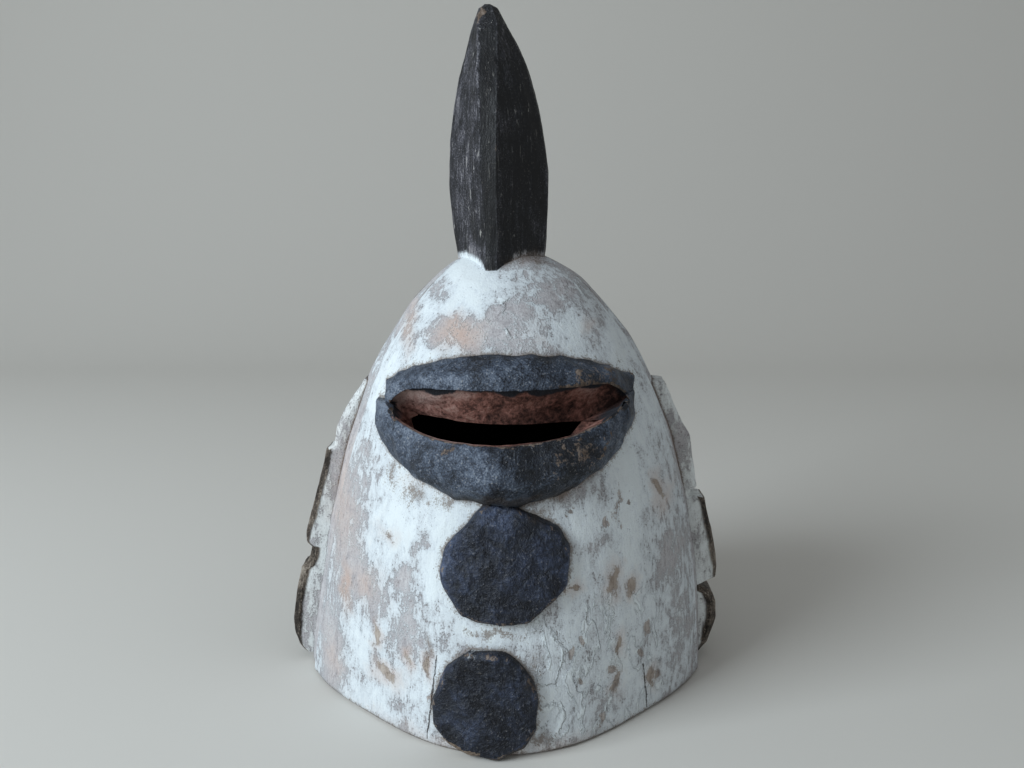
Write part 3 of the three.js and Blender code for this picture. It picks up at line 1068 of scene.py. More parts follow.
@dataclass(frozen=True)
class Patch:
    """A place on the front where the paint is thick, thin, worn or dirty, or where light or shade is
    painted.

    Sizes are millimetres, and lean is degrees to the right. A negative strength takes away.
    """

    x: float
    z: float
    half_width: float
    half_height: float
    strength: float = 1.0
    lean: float = 0.0

    def cover(self, points: Array) -> Array:
        """How far each point lies inside the patch: 1 in its middle, 0.5 at its edge.

        Args:
            points: Points in millimetres.

        Returns:
            One value for each point, 0 on the back of the mask.
        """
        x, z = points[:, 0] - self.x, points[:, 2] - self.z
        angle = math.radians(self.lean)
        across = (x * math.cos(angle) - z * math.sin(angle)) / self.half_width
        up = (x * math.sin(angle) + z * math.cos(angle)) / self.half_height
        inside = np.clip(1 - 0.5 * np.hypot(across, up), 0, 1)
        return np.where(points[:, 1] < 0, inside * self.strength, 0)


def patches(*rows: tuple[float, ...]) -> tuple[Patch, ...]:
    """Makes patches from rows of their fields, in the fields' order."""
    return tuple(Patch(*row) for row in rows)


def total(tree: bpy.types.NodeTree, start: Any, *terms: tuple[Any, Any]) -> Any:
    """Adds up a start value and products of two values each.

    Args:
        tree: The node tree to add to.
        start: The value or socket to start from.
        terms: Pairs of values or sockets, such as a noise and its weight.

    Returns:
        The sum's socket.
    """
    value = start
    for part, weight in terms:
        value = add(tree, "ShaderNodeMath", {"operation": "MULTIPLY_ADD"}, {0: part, 1: weight, 2: value})
    return value


def stepped(tree: bpy.types.NodeTree, reach: Range, *terms: tuple[Any, Any], start: Any = 0.0) -> Any:
    """Turns a sum into a share, with a smooth rise.

    Args:
        tree: The node tree to add to.
        reach: The sum at which the share leaves 0, and the one at which it is 1.
        terms: The sum's terms, as total takes them.
        start: The sum's start value.

    Returns:
        The share's socket.
    """
    return add(tree, "ShaderNodeMapRange", {"interpolation_type": "SMOOTHSTEP"},
               {"Value": total(tree, start, *terms), "From Min": reach[0], "From Max": reach[1]})


def layered(tree: bpy.types.NodeTree, base: Any, *layers: tuple[Any, float, Any]) -> Any:
    """Lays colours over a base colour, one after the other.

    Args:
        tree: The node tree to add to.
        base: The lowest colour, a hex code or a socket.
        layers: For each colour how far it covers, how strong it is where it does, and the colour.

    Returns:
        The last mix's socket.
    """
    shown = colour(base) if isinstance(base, str) else base
    for share, strength, over in layers:
        over = colour(over) if isinstance(over, str) else over
        shown = add(tree, "ShaderNodeMix", {"data_type": "RGBA"},
                    {0: total(tree, 0.0, (share, strength)), COLOUR_A: shown, COLOUR_B: over}, COLOUR_OUT)
    return shown


@dataclass(frozen=True)
class Finish:
    """What one zone is coated with or made of."""

    name: str

    def build(self) -> bpy.types.Material:
        """Builds the material, with procedural colour, roughness and bump."""
        material = bpy.data.materials.new(self.name)
        material.use_nodes = True
        material.node_tree.nodes.clear()
        self.dress(material.node_tree)
        return material

    def dress(self, tree: bpy.types.NodeTree) -> None:
        """Fills the material's empty node tree."""
        raise NotImplementedError


@dataclass(frozen=True)
class PaintedWood(Finish):
    """Wood under earth paint: white kaolin where it is pale, charcoal black where it is dark.

    Kaolin is chalk-like, so it is matt. It lies in clouds over lavender-grey, stained wood, with
    crisp edges where a sheet of it has come off. Charcoal in gum is a little smoother, with dust in
    its pores and brown wood on its worn edges. Spreads and depths are millimetres. Real grit and real
    fibres are finer than their spreads here, which are as coarse as they need to be to show.
    """

    kaolin: Stops = ((0.40, "c1c9ce"), (0.60, "ced6db"), (0.78, "d7dee3"), (0.98, "dfe6e9"))
    stained: Stops = ((0.30, "9d9a9d"), (0.46, "b3afb1"), (0.58, "c2bfc0"), (0.72, "d1d0d1"))
    charcoal: Stops = ((0.15, "0c0e13"), (0.38, "191d25"), (0.55, "2b323e"), (0.72, "465060"),
                       (0.92, "707a89"))
    wood: Stops = ((0.25, "837b78"), (0.50, "a69e9a"), (0.75, "c4beba"))
    rusty: str = "c2a595"
    tanned: str = "a1907f"
    # Tones of dirt and painted shade, on white and on black paint.
    dirt_and_shade_tone: str = "6a5748"
    sooty_dirt_and_shade_tone: str = "2f2721"
    pore: str = "6f645d"
    # A painted highlight on the raised edges of lifted kaolin sheets.
    lifted_edge_highlight: str = "e6eef1"
    scratch: str = "a5a29c"
    speck: str = "a39b90"
    fleck: str = "b9b6b0"
    crack: str = "2a211b"

    broad_spread: float = 30.0
    flake_spread: float = 10.0
    sheet_spread: float = 14.0
    chip_spread: float = 3.2
    grit_spread: float = 0.95
    grain_spread: float = 1.3
    grain_stretch: float = 16.0
    flake_stretch: float = 1.7

    # Where each thing starts to show and where it shows fully, in its own sum of noises.
    bare_at: Range = (0.43, 0.60)
    soiled_and_shaded_at: Range = (0.30, 0.75)
    crisp_at: Range = (0.43, 0.53)
    cloudy_at: Range = (0.23, 0.83)
    crisp_from: Range = (0.54, 0.78)
    rusty_at: Range = (0.1, 0.9)
    pores_at: Range = (0.17, 0.25)
    sheet_at: Range = (-0.01, 0.07)
    sheet_rim: Range = (0.11, 0.07)
    lifted_at: Range = (-0.07, 0.02)
    scratch_at: Range = (0.15, 0.21)
    speck_at: Range = (0.15, 0.20)
    fleck_at: Range = (0.20, 0.24)
    black_softness: float = 0.08

    # How strongly things show, from 0 to 1, and how much each noise weighs.
    grit_share: float = 0.9
    chip_share: float = 0.5
    grain_share: float = 0.35
    streak_share: float = 0.1
    speck_share: float = 0.45
    fleck_share: float = 0.0
    dust_and_shading: float = 0.0
    edge_wear: float = 0.35

    flake_depth: float = 0.3
    sheet_depth: float = 0.75
    lifted_depth: float = 0.525
    paint_depth: float = 0.4
    grain_depth: float = 0.2
    grit_depth: float = 0.25
    lump_depth: float = 0.4
    crack_depth: float = 0.4
    crack_width: float = 0.33
    crack_wander: float = 2.5
    cracks: tuple[tuple[float, float, float, float], ...] = ()

    kaolin_roughness: float = 0.92
    black_roughness: float = 0.52
    shine: float = 0.2

    def noises(self, tree: bpy.types.NodeTree, mm: Any) -> list[Any]:
        """Adds the noises that everything is made of, each from about -0.2 to 0.2.

        Args:
            tree: The material's node tree.
            mm: Places in millimetres.

        Returns:
            The sockets of the broad, flake, sheet, chip, grit and grain noise.
        """
        tall, fibres = (add(tree, "ShaderNodeVectorMath", {"operation": "MULTIPLY"},
                            {0: mm, 1: (1.0, 1.0, 1 / stretch)})
                        for stretch in (self.flake_stretch, self.grain_stretch))
        made = []
        for spread, detail, where, twist in ((self.broad_spread, 3.0, mm, 0.4),
                                             (self.flake_spread, 4.0, tall, 0.9),
                                             (self.sheet_spread, 1.5, tall, 0.8),
                                             (self.chip_spread, 3.0, tall, 0.5),
                                             (self.grit_spread, 2.0, mm, 0.0),
                                             (self.grain_spread, 3.0, fibres, 0.0)):
            value = add(tree, "ShaderNodeTexNoise", None,
                        {"Vector": where, "Scale": 1 / spread, "Detail": detail, "Roughness": 0.6,
                         "Distortion": twist})
            made.append(add(tree, "ShaderNodeMath", {"operation": "SUBTRACT"}, {0: value, 1: 0.5}))
        return made

    def dress(self, tree: bpy.types.NodeTree) -> None:
        """Fills the node tree.

        Args:
            tree: The material's empty node tree.
        """
        place = add(tree, "ShaderNodeTexCoord", output="Object")
        mm = add(tree, "ShaderNodeVectorMath", {"operation": "SCALE"}, {0: place, "Scale": 1 / METRE})
        broad, flake, sheet, chip, grit, grain = self.noises(tree, mm)
        # The dirt attribute also holds painted shade in creases and along the rim, and painted shadow lines
        # in the groove and at the combs' feet. The coat attribute, read as thick, also holds painted light
        # and shade on the crest's facets and in the mouth.
        soot, worn, rust, flaky, grime, edge, thick = (
            add(tree, "ShaderNodeAttribute", {"attribute_name": name}, output="Fac")
            for name in ("soot", "worn", "rust", "flaky", "grime", "edge", "coat"))

        half = (0.5 - self.black_softness, 0.5 + self.black_softness)
        black = stepped(tree, half, (soot, 1.0), (chip, 0.6), (grit, 0.5))
        bare = stepped(tree, self.bare_at, (worn, 1.0), (edge, self.edge_wear), (chip, 0.9), (grit, 0.6))
        # Dirt and painted shade: the share that takes the soil tone.
        soiled_and_shaded = stepped(tree, self.soiled_and_shaded_at, (grime, 1.0), (chip, 1.0), (grit, 1.2))

        # The kaolin: powdery clouds in places and crisp sheets in others, over stained wood.
        coat = total(tree, 0.63, (broad, 0.8), (flake, 0.9), (chip, 0.8), (grain, self.grain_share),
                     (grit, 0.6), (thick, 0.26))
        crisp = stepped(tree, self.crisp_at, (coat, 1.0))
        cloudy = stepped(tree, self.cloudy_at, (coat, 1.0))
        sharpness = stepped(tree, self.crisp_from, (broad, 1.0), (sheet, 1.0), start=0.5)
        cover = add(tree, "ShaderNodeMix", None,
                    {0: sharpness, VALUE_A: cloudy, VALUE_B: total(tree, 0.1, (crisp, 0.8))})
        stain = total(tree, 0.5, (flake, 0.6), (chip, 0.5), (grit, 0.4), (grain, 0.5))
        warm = stepped(tree, self.rusty_at, (rust, 1.0), (chip, 0.6), (flake, 0.5))
        under = layered(tree, add(tree, "ShaderNodeValToRGB", {"stops": self.stained}, {"Fac": stain}),
                        (warm, 0.7, self.rusty))
        white = layered(tree, add(tree, "ShaderNodeValToRGB", {"stops": self.kaolin}, {"Fac": coat}),
                        (warm, 0.35, self.rusty))
        pores = stepped(tree, self.pores_at, (grit, -1.0), (chip, -0.35), (flake, -0.4), (broad, -0.3))

        # Where a sheet of kaolin has lifted, its edge is raised, and a painted highlight makes it bright.
        inside = stepped(tree, self.sheet_at, (sheet, 1.0), (chip, 0.3))
        rim = total(tree, 0.0, (inside, stepped(tree, self.sheet_rim, (sheet, 1.0))))
        loose = total(tree, 0.0, (flaky, stepped(tree, self.lifted_at, (flake, 1.0))))
        lifted_rim_highlight = total(tree, 0.0, (rim, loose))
        pale = layered(tree, under, (cover, 1.0, white), (pores, 0.5, self.pore),
                       (lifted_rim_highlight, 0.85, self.lifted_edge_highlight))

        # The charcoal: dust in its pores, painted light and shade on the crest's facets and arris from the
        # coat attribute, and fibres, specks and flecks where it is rubbed.
        dust_and_shading = total(tree, 0.5 + self.dust_and_shading, (broad, 0.9), (flake, 0.7), (chip, self.chip_share),
                     (grit, self.grit_share), (grain, self.grain_share), (edge, 0.15), (thick, 0.11))
        scratches = stepped(tree, self.scratch_at, (grain, 1.0))
        specks = stepped(tree, self.speck_at, (grit, 1.0), (chip, 0.3))
        flecks = stepped(tree, self.fleck_at, (chip, 1.0), (grain, 0.4))
        dark = layered(tree, add(tree, "ShaderNodeValToRGB", {"stops": self.charcoal}, {"Fac": dust_and_shading}),
                       (scratches, self.streak_share, self.scratch), (specks, self.speck_share, self.speck),
                       (flecks, self.fleck_share, self.fleck))

        fibre = total(tree, 0.5, (grain, 0.8), (flake, 0.8), (chip, 1.0), (grit, 0.5))
        fibre = layered(tree, add(tree, "ShaderNodeValToRGB", {"stops": self.wood}, {"Fac": fibre}),
                        (warm, 0.49, self.tanned))
        # The tone that dirt and painted shade lay on the paint, browner on white and sootier on black.
        soil_and_shade = layered(tree, self.dirt_and_shade_tone, (black, 1.0, self.sooty_dirt_and_shade_tone))
        cracked = self.cracked(tree, mm, chip)
        shown = layered(tree, pale, (black, 1.0, dark), (bare, 1.0, fibre), (soiled_and_shaded, 0.75, soil_and_shade),
                        (cracked, 0.85, self.crack))

        height = total(tree, 0.0, (bare, -self.paint_depth), (crisp, self.flake_depth),
                       (grit, self.grit_depth), (grain, self.grain_depth), (chip, self.lump_depth),
                       (total(tree, 0.0, (inside, flaky)), self.sheet_depth),
                       (lifted_rim_highlight, self.lifted_depth), (cracked, -self.crack_depth))
        bump = add(tree, "ShaderNodeBump", None, {"Strength": 1.0, "Distance": METRE, "Height": height},
                   "Normal")
        rough = add(tree, "ShaderNodeMapRange", None,
                    {"Value": black, "To Min": self.kaolin_roughness, "To Max": self.black_roughness})
        shader = add(tree, "ShaderNodeBsdfPrincipled", None,
                     {"Base Color": shown, "Roughness": rough, "Normal": bump,
                      "Specular IOR Level": self.shine})
        add(tree, "ShaderNodeOutputMaterial", None, {"Surface": shader}, None)

    def cracked(self, tree: bpy.types.NodeTree, mm: Any, wander: Any) -> Any:
        """Adds thin upright cracks, each given by the x and z of its top and of its foot.

        Args:
            tree: The material's node tree.
            mm: Places in millimetres.
            wander: Noise that the cracks follow from side to side.

        Returns:
            A socket that is 1 in a crack and 0 beside it, or 0.0 if there are no cracks.
        """
        axes = add(tree, "ShaderNodeSeparateXYZ", None, {0: mm}, None).outputs
        result: Any = 0.0
        for top_x, top_z, foot_x, foot_z in self.cracks:
            slope = (top_x - foot_x) / (top_z - foot_z)
            line = total(tree, axes["X"], (axes["Z"], -slope), (wander, self.crack_wander))
            near = add(tree, "ShaderNodeMath", {"operation": "COMPARE"},
                       {0: line, 1: foot_x - slope * foot_z, 2: self.crack_width})
            level = add(tree, "ShaderNodeMath", {"operation": "COMPARE"},
                        {0: axes["Z"], 1: (top_z + foot_z) / 2, 2: (top_z - foot_z) / 2})
            result = total(tree, result, (near, level))
        return result


@dataclass(frozen=True)
class PlainWood(Finish):
    """One coat or bare wood: a ramp of colours over blotches and pits, such as red earth or raw timber.

    Chalk lies on it where the paint map has a thick coat, and black is smeared over it where it has
    soot. Where the map paints shade, it is darker. Spreads and depths are millimetres.
    """

    stops: Stops
    spread: float = 6.0
    pit_spread: float = 2.2
    stretch: float = 1.0
    depth: float = 0.6
    roughness: float = 0.85
    shine: float = 0.3
    chalk: str = "a68d86"
    chalk_at: Range = (0.12, 0.8)
    smear: str = "25272d"
    smear_at: Range = (0.85, 1.4)
    contrast: float = 0.0
    coat_and_shading_weight: float = 0.1

    def dress(self, tree: bpy.types.NodeTree) -> None:
        """Fills the node tree.

        Args:
            tree: The material's empty node tree.
        """
        place = add(tree, "ShaderNodeTexCoord", output="Object")
        scale = (1 / METRE, 1 / METRE, 1 / METRE / self.stretch)
        mm = add(tree, "ShaderNodeVectorMath", {"operation": "MULTIPLY"}, {0: place, 1: scale})
        blotch = add(tree, "ShaderNodeTexNoise", None,
                     {"Vector": mm, "Scale": 1 / self.spread, "Detail": 4.0, "Distortion": 0.6})
        pit = add(tree, "ShaderNodeTexNoise", None,
                  {"Vector": mm, "Scale": 1 / self.pit_spread, "Detail": 3.0, "Roughness": 0.65})
        coat, soot = (add(tree, "ShaderNodeAttribute", {"attribute_name": name}, output="Fac")
                      for name in ("coat", "soot"))
        both = total(tree, -self.contrast, (pit, 0.55 + self.contrast), (blotch, 0.45 + self.contrast))
        # The coat attribute adds painted shade deep in the mouth and in its right corner.
        shade = total(tree, both, (coat, self.coat_and_shading_weight))
        shown = add(tree, "ShaderNodeValToRGB", {"stops": self.stops}, {"Fac": shade})
        shown = layered(tree, shown, (stepped(tree, self.chalk_at, (coat, both)), 1.0, self.chalk),
                        (stepped(tree, self.smear_at, (both, 1.2), start=soot), 1.0, self.smear))
        bump = add(tree, "ShaderNodeBump", None,
                   {"Strength": 1.0, "Distance": self.depth * METRE, "Height": both}, "Normal")
        shader = add(tree, "ShaderNodeBsdfPrincipled", None,
                     {"Base Color": shown, "Roughness": self.roughness, "Normal": bump,
                      "Specular IOR Level": self.shine})
        add(tree, "ShaderNodeOutputMaterial", None, {"Surface": shader}, None)


BROWN_WOOD: Stops = ((0.25, "392f29"), (0.50, "615247"), (0.75, "7f7269"))
WARM_KAOLIN: Stops = ((0.40, "c7cac9"), (0.60, "d4d8d7"), (0.78, "dfe3e3"), (0.98, "e7ecec"))


def charcoal(*codes: str) -> Stops:
    """Puts five tones of charcoal, from the darkest to the palest, at their places on a ramp."""
    return tuple(zip((0.15, 0.38, 0.55, 0.72, 0.92), codes))


BROWN_CHARCOAL = charcoal("0f0c0a", "241e1a", "3f3832", "60564d", "8f867b")
BLUE_CHARCOAL = charcoal("0c0e15", "191e29", "2b3345", "465169", "707b92")
GREY_CHARCOAL = charcoal("0c0c0f", "1b1c20", "35353b", "5d5c63", "8d8a8c")


@dataclass(frozen=True)
class Finishes:
    """All finishes of the mask, one for each zone: earth paints, rubbed on by hand, and bare wood."""

    # Kaolin, a white clay: it dries chalky, so it is pale, cool and quite matt, and comes off in sheets.
    dome: PaintedWood = PaintedWood(
        "kaolin_paint_on_dome", charcoal=GREY_CHARCOAL,
        cracks=((75.6, 29.7, 78.8, 2.4), (-34.3, 48.0, -39.9, 3.0)))

    # Charcoal in gum on knife-cut wood: lumpy blue-black with a dull shine, brown on its worn edges.
    lips: PaintedWood = PaintedWood(
        "charcoal_paint_on_lips", wood=BROWN_WOOD, grit_depth=0.5, lump_depth=1.6, grain_share=0.1,
        dust_and_shading=0.04, edge_wear=0.5, flake_stretch=1.0, grit_share=0.85, chip_share=0.45, broad_spread=22.0,
        shine=0.36)

    # The same paint, thicker and bluer: an even dark surface with little dust in it.
    bosses: PaintedWood = PaintedWood(
        "charcoal_paint_on_bosses", wood=BROWN_WOOD, grit_depth=0.45, lump_depth=1.8, grit_share=0.4,
        grain_share=0.1, dust_and_shading=-0.15, edge_wear=0.5, speck_share=0.25, charcoal=BLUE_CHARCOAL,
        flake_stretch=1.0, shine=0.36)

    # Kaolin with charcoal along its edge: warmer white, and black that has soaked in and gone brown.
    combs: PaintedWood = PaintedWood(
        "kaolin_and_charcoal_on_combs", black_softness=0.25, dust_and_shading=0.06, kaolin=WARM_KAOLIN,
        charcoal=BROWN_CHARCOAL)

    # Charcoal on straight grain: near black, with fine grey fibres and pale flecks that run upwards.
    crest: PaintedWood = PaintedWood(
        "charcoal_paint_on_crest", wood=BROWN_WOOD, grain_share=0.6, streak_share=0.25, grit_depth=0.2,
        lump_depth=0.35, dust_and_shading=-0.11, charcoal=GREY_CHARCOAL, black_softness=0.22, fleck_share=0.5,
        speck_share=0.14, flake_stretch=3.5, shine=0.36)

    # Red ochre, a clay full of iron: dull red-brown, darker in its pits and chalky on its high places.
    mouth: PlainWood = PlainWood(
        "red_ochre_in_mouth", ((0.3, "2e1c19"), (0.45, "63433b"), (0.55, "845a50"), (0.7, "9a776c")),
        contrast=0.12, depth=1.2)

    # Bare adzed wood, darkened by handling: dull brown fibres that run upwards.
    hollow: PlainWood = PlainWood(
        "raw_wood_in_hollow", ((0.3, "2a1e16"), (0.5, "4a3627"), (0.7, "6b523d")), stretch=10.0)

    def build(self) -> Looks:
        """Builds every material. A zone's finish is the field with the zone's name."""
        return {zone: getattr(self, zone.name.lower()).build() for zone in Zone}


@dataclass(frozen=True)
class Surface:
    """The carved block as arrays, in millimetres.

    Each point has a normal, each edge a pair of points, and each corner of a face its point's number,
    its face's zone and its face's normal.
    """

    points: Array
    normals: Array
    pairs: Array
    corners: Array
    zones: Array
    face_normals: Array
    least_length: float = 1e-4

    @classmethod
    def of(cls, mesh: bpy.types.Mesh) -> "Surface":
        """Reads a mesh.

        Args:
            mesh: A mesh that is made of triangles only.

        Returns:
            Its surface.
        """

        def read(items: Any, name: str, width: int, kind: type = float) -> Array:
            """Reads a property of every item into rows of this width."""
            values = np.empty(len(items) * width, np.int32 if kind is int else np.float32)
            items.foreach_get(name, values)
            return values.reshape(-1, width).astype(kind)

        return cls(
            read(mesh.vertices, "co", 3) / METRE,
            read(mesh.vertices, "normal", 3),
            read(mesh.edges, "vertices", 2, int),
            read(mesh.loops, "vertex_index", 1, int).ravel(),
            np.repeat(read(mesh.polygons, "material_index", 1, int), 3),
            np.repeat(read(mesh.polygons, "normal", 3), 3, axis=0),
        )

    def on(self, *group: Zone) -> Array:
        """Whether each point lies on a face of these zones."""
        touched = np.zeros(len(self.points), bool)
        touched[self.corners[np.isin(self.zones, [zone.value for zone in group])]] = True
        return touched

    def border(self, ones: Sequence[Zone], others: Sequence[Zone]) -> Array:
        """Distance of each point from the line where some zones meet some others.

        Args:
            ones: The zones on one side of the line.
            others: The zones on its other side.

        Returns:
            One distance for each point.
        """
        at_border = np.nonzero(self.on(*ones) & self.on(*others))[0]
        tree = KDTree(len(at_border))
        for k in at_border:
            tree.insert(self.points[k], int(k))
        tree.balance()
        return np.array([tree.find(p)[2] for p in self.points])

    def convexity(self, sharpness: Range) -> Array:
        """How sharply the surface bends outwards at each point.

        Args:
            sharpness: The bend that counts as 0, and the one that counts as 1.

        Returns:
            One value from 0 to 1 for each point.
        """
        points, pairs = self.points, self.pairs
        count = np.bincount(pairs.ravel(), minlength=len(points)).astype(float)
        bend = np.zeros(len(points))
        for near, far in ((pairs[:, 0], pairs[:, 1]), (pairs[:, 1], pairs[:, 0])):
            away = points[near] - points[far]
            length = np.maximum(np.linalg.norm(away, axis=1), self.least_length)
            rise = (away * self.normals[near]).sum(axis=1) / length
            bend += np.bincount(near, rise, len(points))
        bend /= count
        spread = np.bincount(pairs[:, 0], bend[pairs[:, 1]], len(points))
        spread += np.bincount(pairs[:, 1], bend[pairs[:, 0]], len(points))
        return smoothstep((bend + spread / count) / 2, *sharpness)


@dataclass(frozen=True)
class PaintMap:
    """Where the paint is black or white, thick or thin, worn, rusty or dirty, and where light and shade are
    painted, seen from the front.

    Reaches, heights and widths are millimetres. Dirt, painted shade and wear are shares from 0 to 1, and a
    pair that ends in _at or _darkens says where something starts and where it is full.
    """

    dome: Dome
    combs: tuple[Comb, Comb]

    # Each row is a patch's x and z, its half width and half height, its strength and its lean.
    # Bare wood: chips in the face, the tip of the crest and rubbed stretches of the lips.
    worn: tuple[Patch, ...] = patches(
        (-50.3, 40.5, 1.9, 4.4, 0.7), (-69.1, 46.4, 1.6, 6.5), (-54.5, 62, 1, 12, 0.5),
        (-63.4, 28, 6, 3.4, 1, 20), (-39.2, 42, 1.6, 5), (-37.6, 25.5, 1.4, 2.4), (57.1, 81.2, 3, 7),
        (67.6, 76.7, 3.6, 4.4), (76.2, 48.2, 2.4, 4.6), (60.8, 46.5, 2.1, 3.6), (73.9, 35.3, 1.9, 2.9),
        (81, 18.9, 2.8, 4.4), (86.2, 19.1, 1.5, 3), (60, 117.9, 2.6, 9, 0.75), (53.2, 112.4, 2.4, 5, 0.75),
        (84.2, 122.4, 1.8, 6.2, 1, -35), (36.2, 82, 2.4, 1.6), (41, 54, 1.6, 2.4), (59.9, 25.6, 2.4, 5.6),
        (56.3, 33.2, 2, 2.6), (51.2, 8.5, 1.8, 4), (39, 33.2, 1.6, 2.8), (33.7, 48, 1.7, 3.6),
        (-13.8, 380.5, 2.4, 3), (40, 153, 20, 10, 0.52), (50, 186, 20, 9, 0.50), (-29, 155, 3.6, 3, 0.66),
        (-24, 4.6, 9, 1.5),
    )
    # Thick kaolin, or thin where the strength is negative. On black parts it is dust. The two tall rows at z
    # 312 are painted light on the crest's left facet and painted shade on its right facet. The rows at x -42
    # and -28 near z 150 to 189 make the lips lighter on the left, and the row at x 28, z 150 makes the lower
    # lip darker right of its middle.
    coat: tuple[Patch, ...] = patches(
        (-12, 230, 18, 6), (-28, 222, 11, 3, 1.2, -14), (-44, 218, 4, 9), (-52.5, 85.7, 4.4, 6, -2.2),
        (-45.2, 96.3, 2.6, 5, -2.2), (-40.8, 104.4, 3.2, 4.4, -2.2), (-49, 63, 5, 20, -1.5),
        (-5, 64, 16, 6, 1), (50, 188, 17, 9, 0.8), (50, 152, 16, 10, 1), (-52, 175, 9, 5, 0.6),
        (-20, 241, 9, 5), (-54, 208, 4, 13, -1), (37, 211, 7, 7), (60, 212, 3, 12), (42, 114, 14, 6),
        (66, 118, 4, 19), (36, 92, 5, 14), (29, 63, 7, 7), (-81, 38, 8, 19), (-46, 100, 17, 24, 1.3),
        (-56, 124, 6, 14), (-38, 29, 13, 12), (1, 211, 10, 9, -0.9), (-39, 231, 8, 5, -1.3),
        (19, 225, 13, 7, -1.1), (22, 205, 10, 7, -0.6), (38, 229, 8, 8, -1.2), (51, 205, 6, 9, -1.2),
        (-26, 210, 14, 9, -1.8), (50, 69, 9, 13, -0.8), (45, 103, 13, 4, -1.1), (86, 82, 9, 9, -1.2),
        (77, 42, 8, 11, -0.7), (56, 18, 15, 6, -0.9), (-87, 111, 10, 23, -1.2), (-76, 71, 11, 12, -1.2),
        (-101, 22, 8, 17, -0.9), (-42, 174, 17, 8, 1), (-21, 312, 7, 70, 1.7), (-42, 189, 26, 8, 1.6),
        (-28, 150, 26, 12, 1.6), (28, 150, 26, 16, -1.3), (-27, 100, 8, 22, 1), (12, 312, 15, 80, -1.4),
        (-15, 251, 8, 4, 1.5), (66, 150, 18, 40, 1.3), (98, 60, 8, 60, -1), (-100, 60, 14, 60, -0.5),
        (-64, 176, 5, 10, 1.2), (-69, 163, 6, 10, 1.2), (62, 50, 26, 36, 1.1), (34, 216, 20, 16, 0.6),
        (0, 119, 12, 7, 2),
    )
    # Red earth that has stained the paint, mostly round bare wood.
    rust: tuple[Patch, ...] = patches(
        (-25, 208, 12, 8, 0.95), (-53, 208, 4, 13, 0.8), (-94, 105, 12, 40, 0.55), (45, 212, 4, 4, 0.8),
        (-89, 63, 4, 13), (90, 116, 6, 8, 0.9), (-87, 100, 12, 26, 0.5), (-76, 72, 12, 12, 0.55),
        (20, 206, 12, 10, 0.35), (-62, 102, 7, 5, 0.7), (57, 81, 5, 10, 1.1), (68, 77, 5, 7, 1),
        (82, 19, 5, 7, 0.9), (59, 26, 5, 9, 0.7), (-63, 28, 9, 6, 1.2), (84, 122, 4, 9, 1.1),
        (-50, 40, 3, 6), (-69, 46, 3, 9), (61, 47, 4, 6), (36, 82, 4, 4), (-39, 42, 3, 8),
        (-98, 20, 8, 16, 0.5), (-45, 133, 13, 6, 0.5), (-8, 3, 60, 5, 0.7),
    )
    # Brown dirt and painted shade under the lips, by the bosses and along the rim, and three pinholes
    # painted dark.
    soiled_and_shaded: tuple[Patch, ...] = patches(
        (-47.6, 126.5, 8, 6, 0.75), (-60, 136, 5, 9, 0.7), (-62, 102, 3.4, 3, 0.75),
        (19.5, 8.5, 7.7, 4.2, 0.85), (7, 5.6, 5.1, 2.1), (-3, 62.5, 15, 2.6, 0.8), (29, 132, 11, 4, 0.8),
        (-39.1, 51.9, 2, 7, 0.8), (14, 246, 13, 4, 0.8), (62, 181, 9, 9, 0.6), (67, 168, 6, 12, 0.55),
        (2, 130, 20, 3, 1.1), (17, 121, 7, 4, 0.8), (-26, 127, 12, 4, 0.7), (15, 44, 6, 12, 0.55),
        (33.5, 121.7, 0.8, 0.8, 1.8), (49.8, 88.4, 0.8, 0.8, 1.8), (66.5, 121.4, 0.8, 0.8, 1.8),
    )
    # Kaolin that has lifted in sheets.
    flaky: tuple[Patch, ...] = patches(
        (52, 38, 42, 34, 1.4), (24, 62, 14, 16), (3, 217, 7, 9, 1.2), (40, 230, 10, 8),
    )
    # Black that is rubbed off the edge of the lower boss.
    smudged: tuple[Patch, ...] = patches((-17, 53, 11, 3.5, 0.5), (-32, 8, 6, 5, 0.35))

    # Dirt and painted shade lie in the creases round the raised parts and along the rim, and painted shadow
    # lines lie in the groove and at the combs' feet.
    crease_reach: float = 3.2
    crease_dirt_and_shade: float = 0.74
    crown_from: float = 236.0
    crown_crease: float = 0.3
    rim_dirt_and_shade: float = 0.9
    rim_reach: float = 3.0
    groove_line: float = 1.6
    groove_spread: float = 1.3
    groove_shadow: Range = (0.35, 0.75)
    groove_darkens: Range = (80.0, 120.0)
    seam_reach: float = 1.6
    seam_shadow: Range = (0.3, 0.9)
    seam_darkens: Range = (100.0, 118.0)

    # The coat is thinner behind the arris. Painted shade darkens the mouth deep inside and in its right
    # corner and the crest's front strip, and a painted highlight lightens the crest's left arris.
    behind_at: Range = (0.0, 2.0)
    behind_to: float = 100.0
    deep_at: Range = (-2.0, 15.0)
    deep_shade: float = 0.5
    corner_at: Range = (46.0, 60.0)
    corner_shade: float = 3.0
    strip_at: Range = (0.88, 0.97)
    strip_shade: float = 3.2
    crest_arris_at: Range = (0.8, 0.9)
    crest_side_at: Range = (0.3, 0.45)
    crest_arris_highlight: float = 1.2
    crest_ahead: tuple[float, float, float] = (-0.174, -0.985, 0.0)

    # Wear runs along the lower lip's edge and spares the left of the upper lip's.
    between_lips: float = 172.0
    lip_wear: float = 0.42
    lip_wear_reach: float = 1.2
    spared_to: float = 28.0
    spared: float = 0.75
    spared_reach: float = 2.0
    flaky_at: Range = (0.45, 0.75)
    edge_at: Range = (0.04, 0.18)

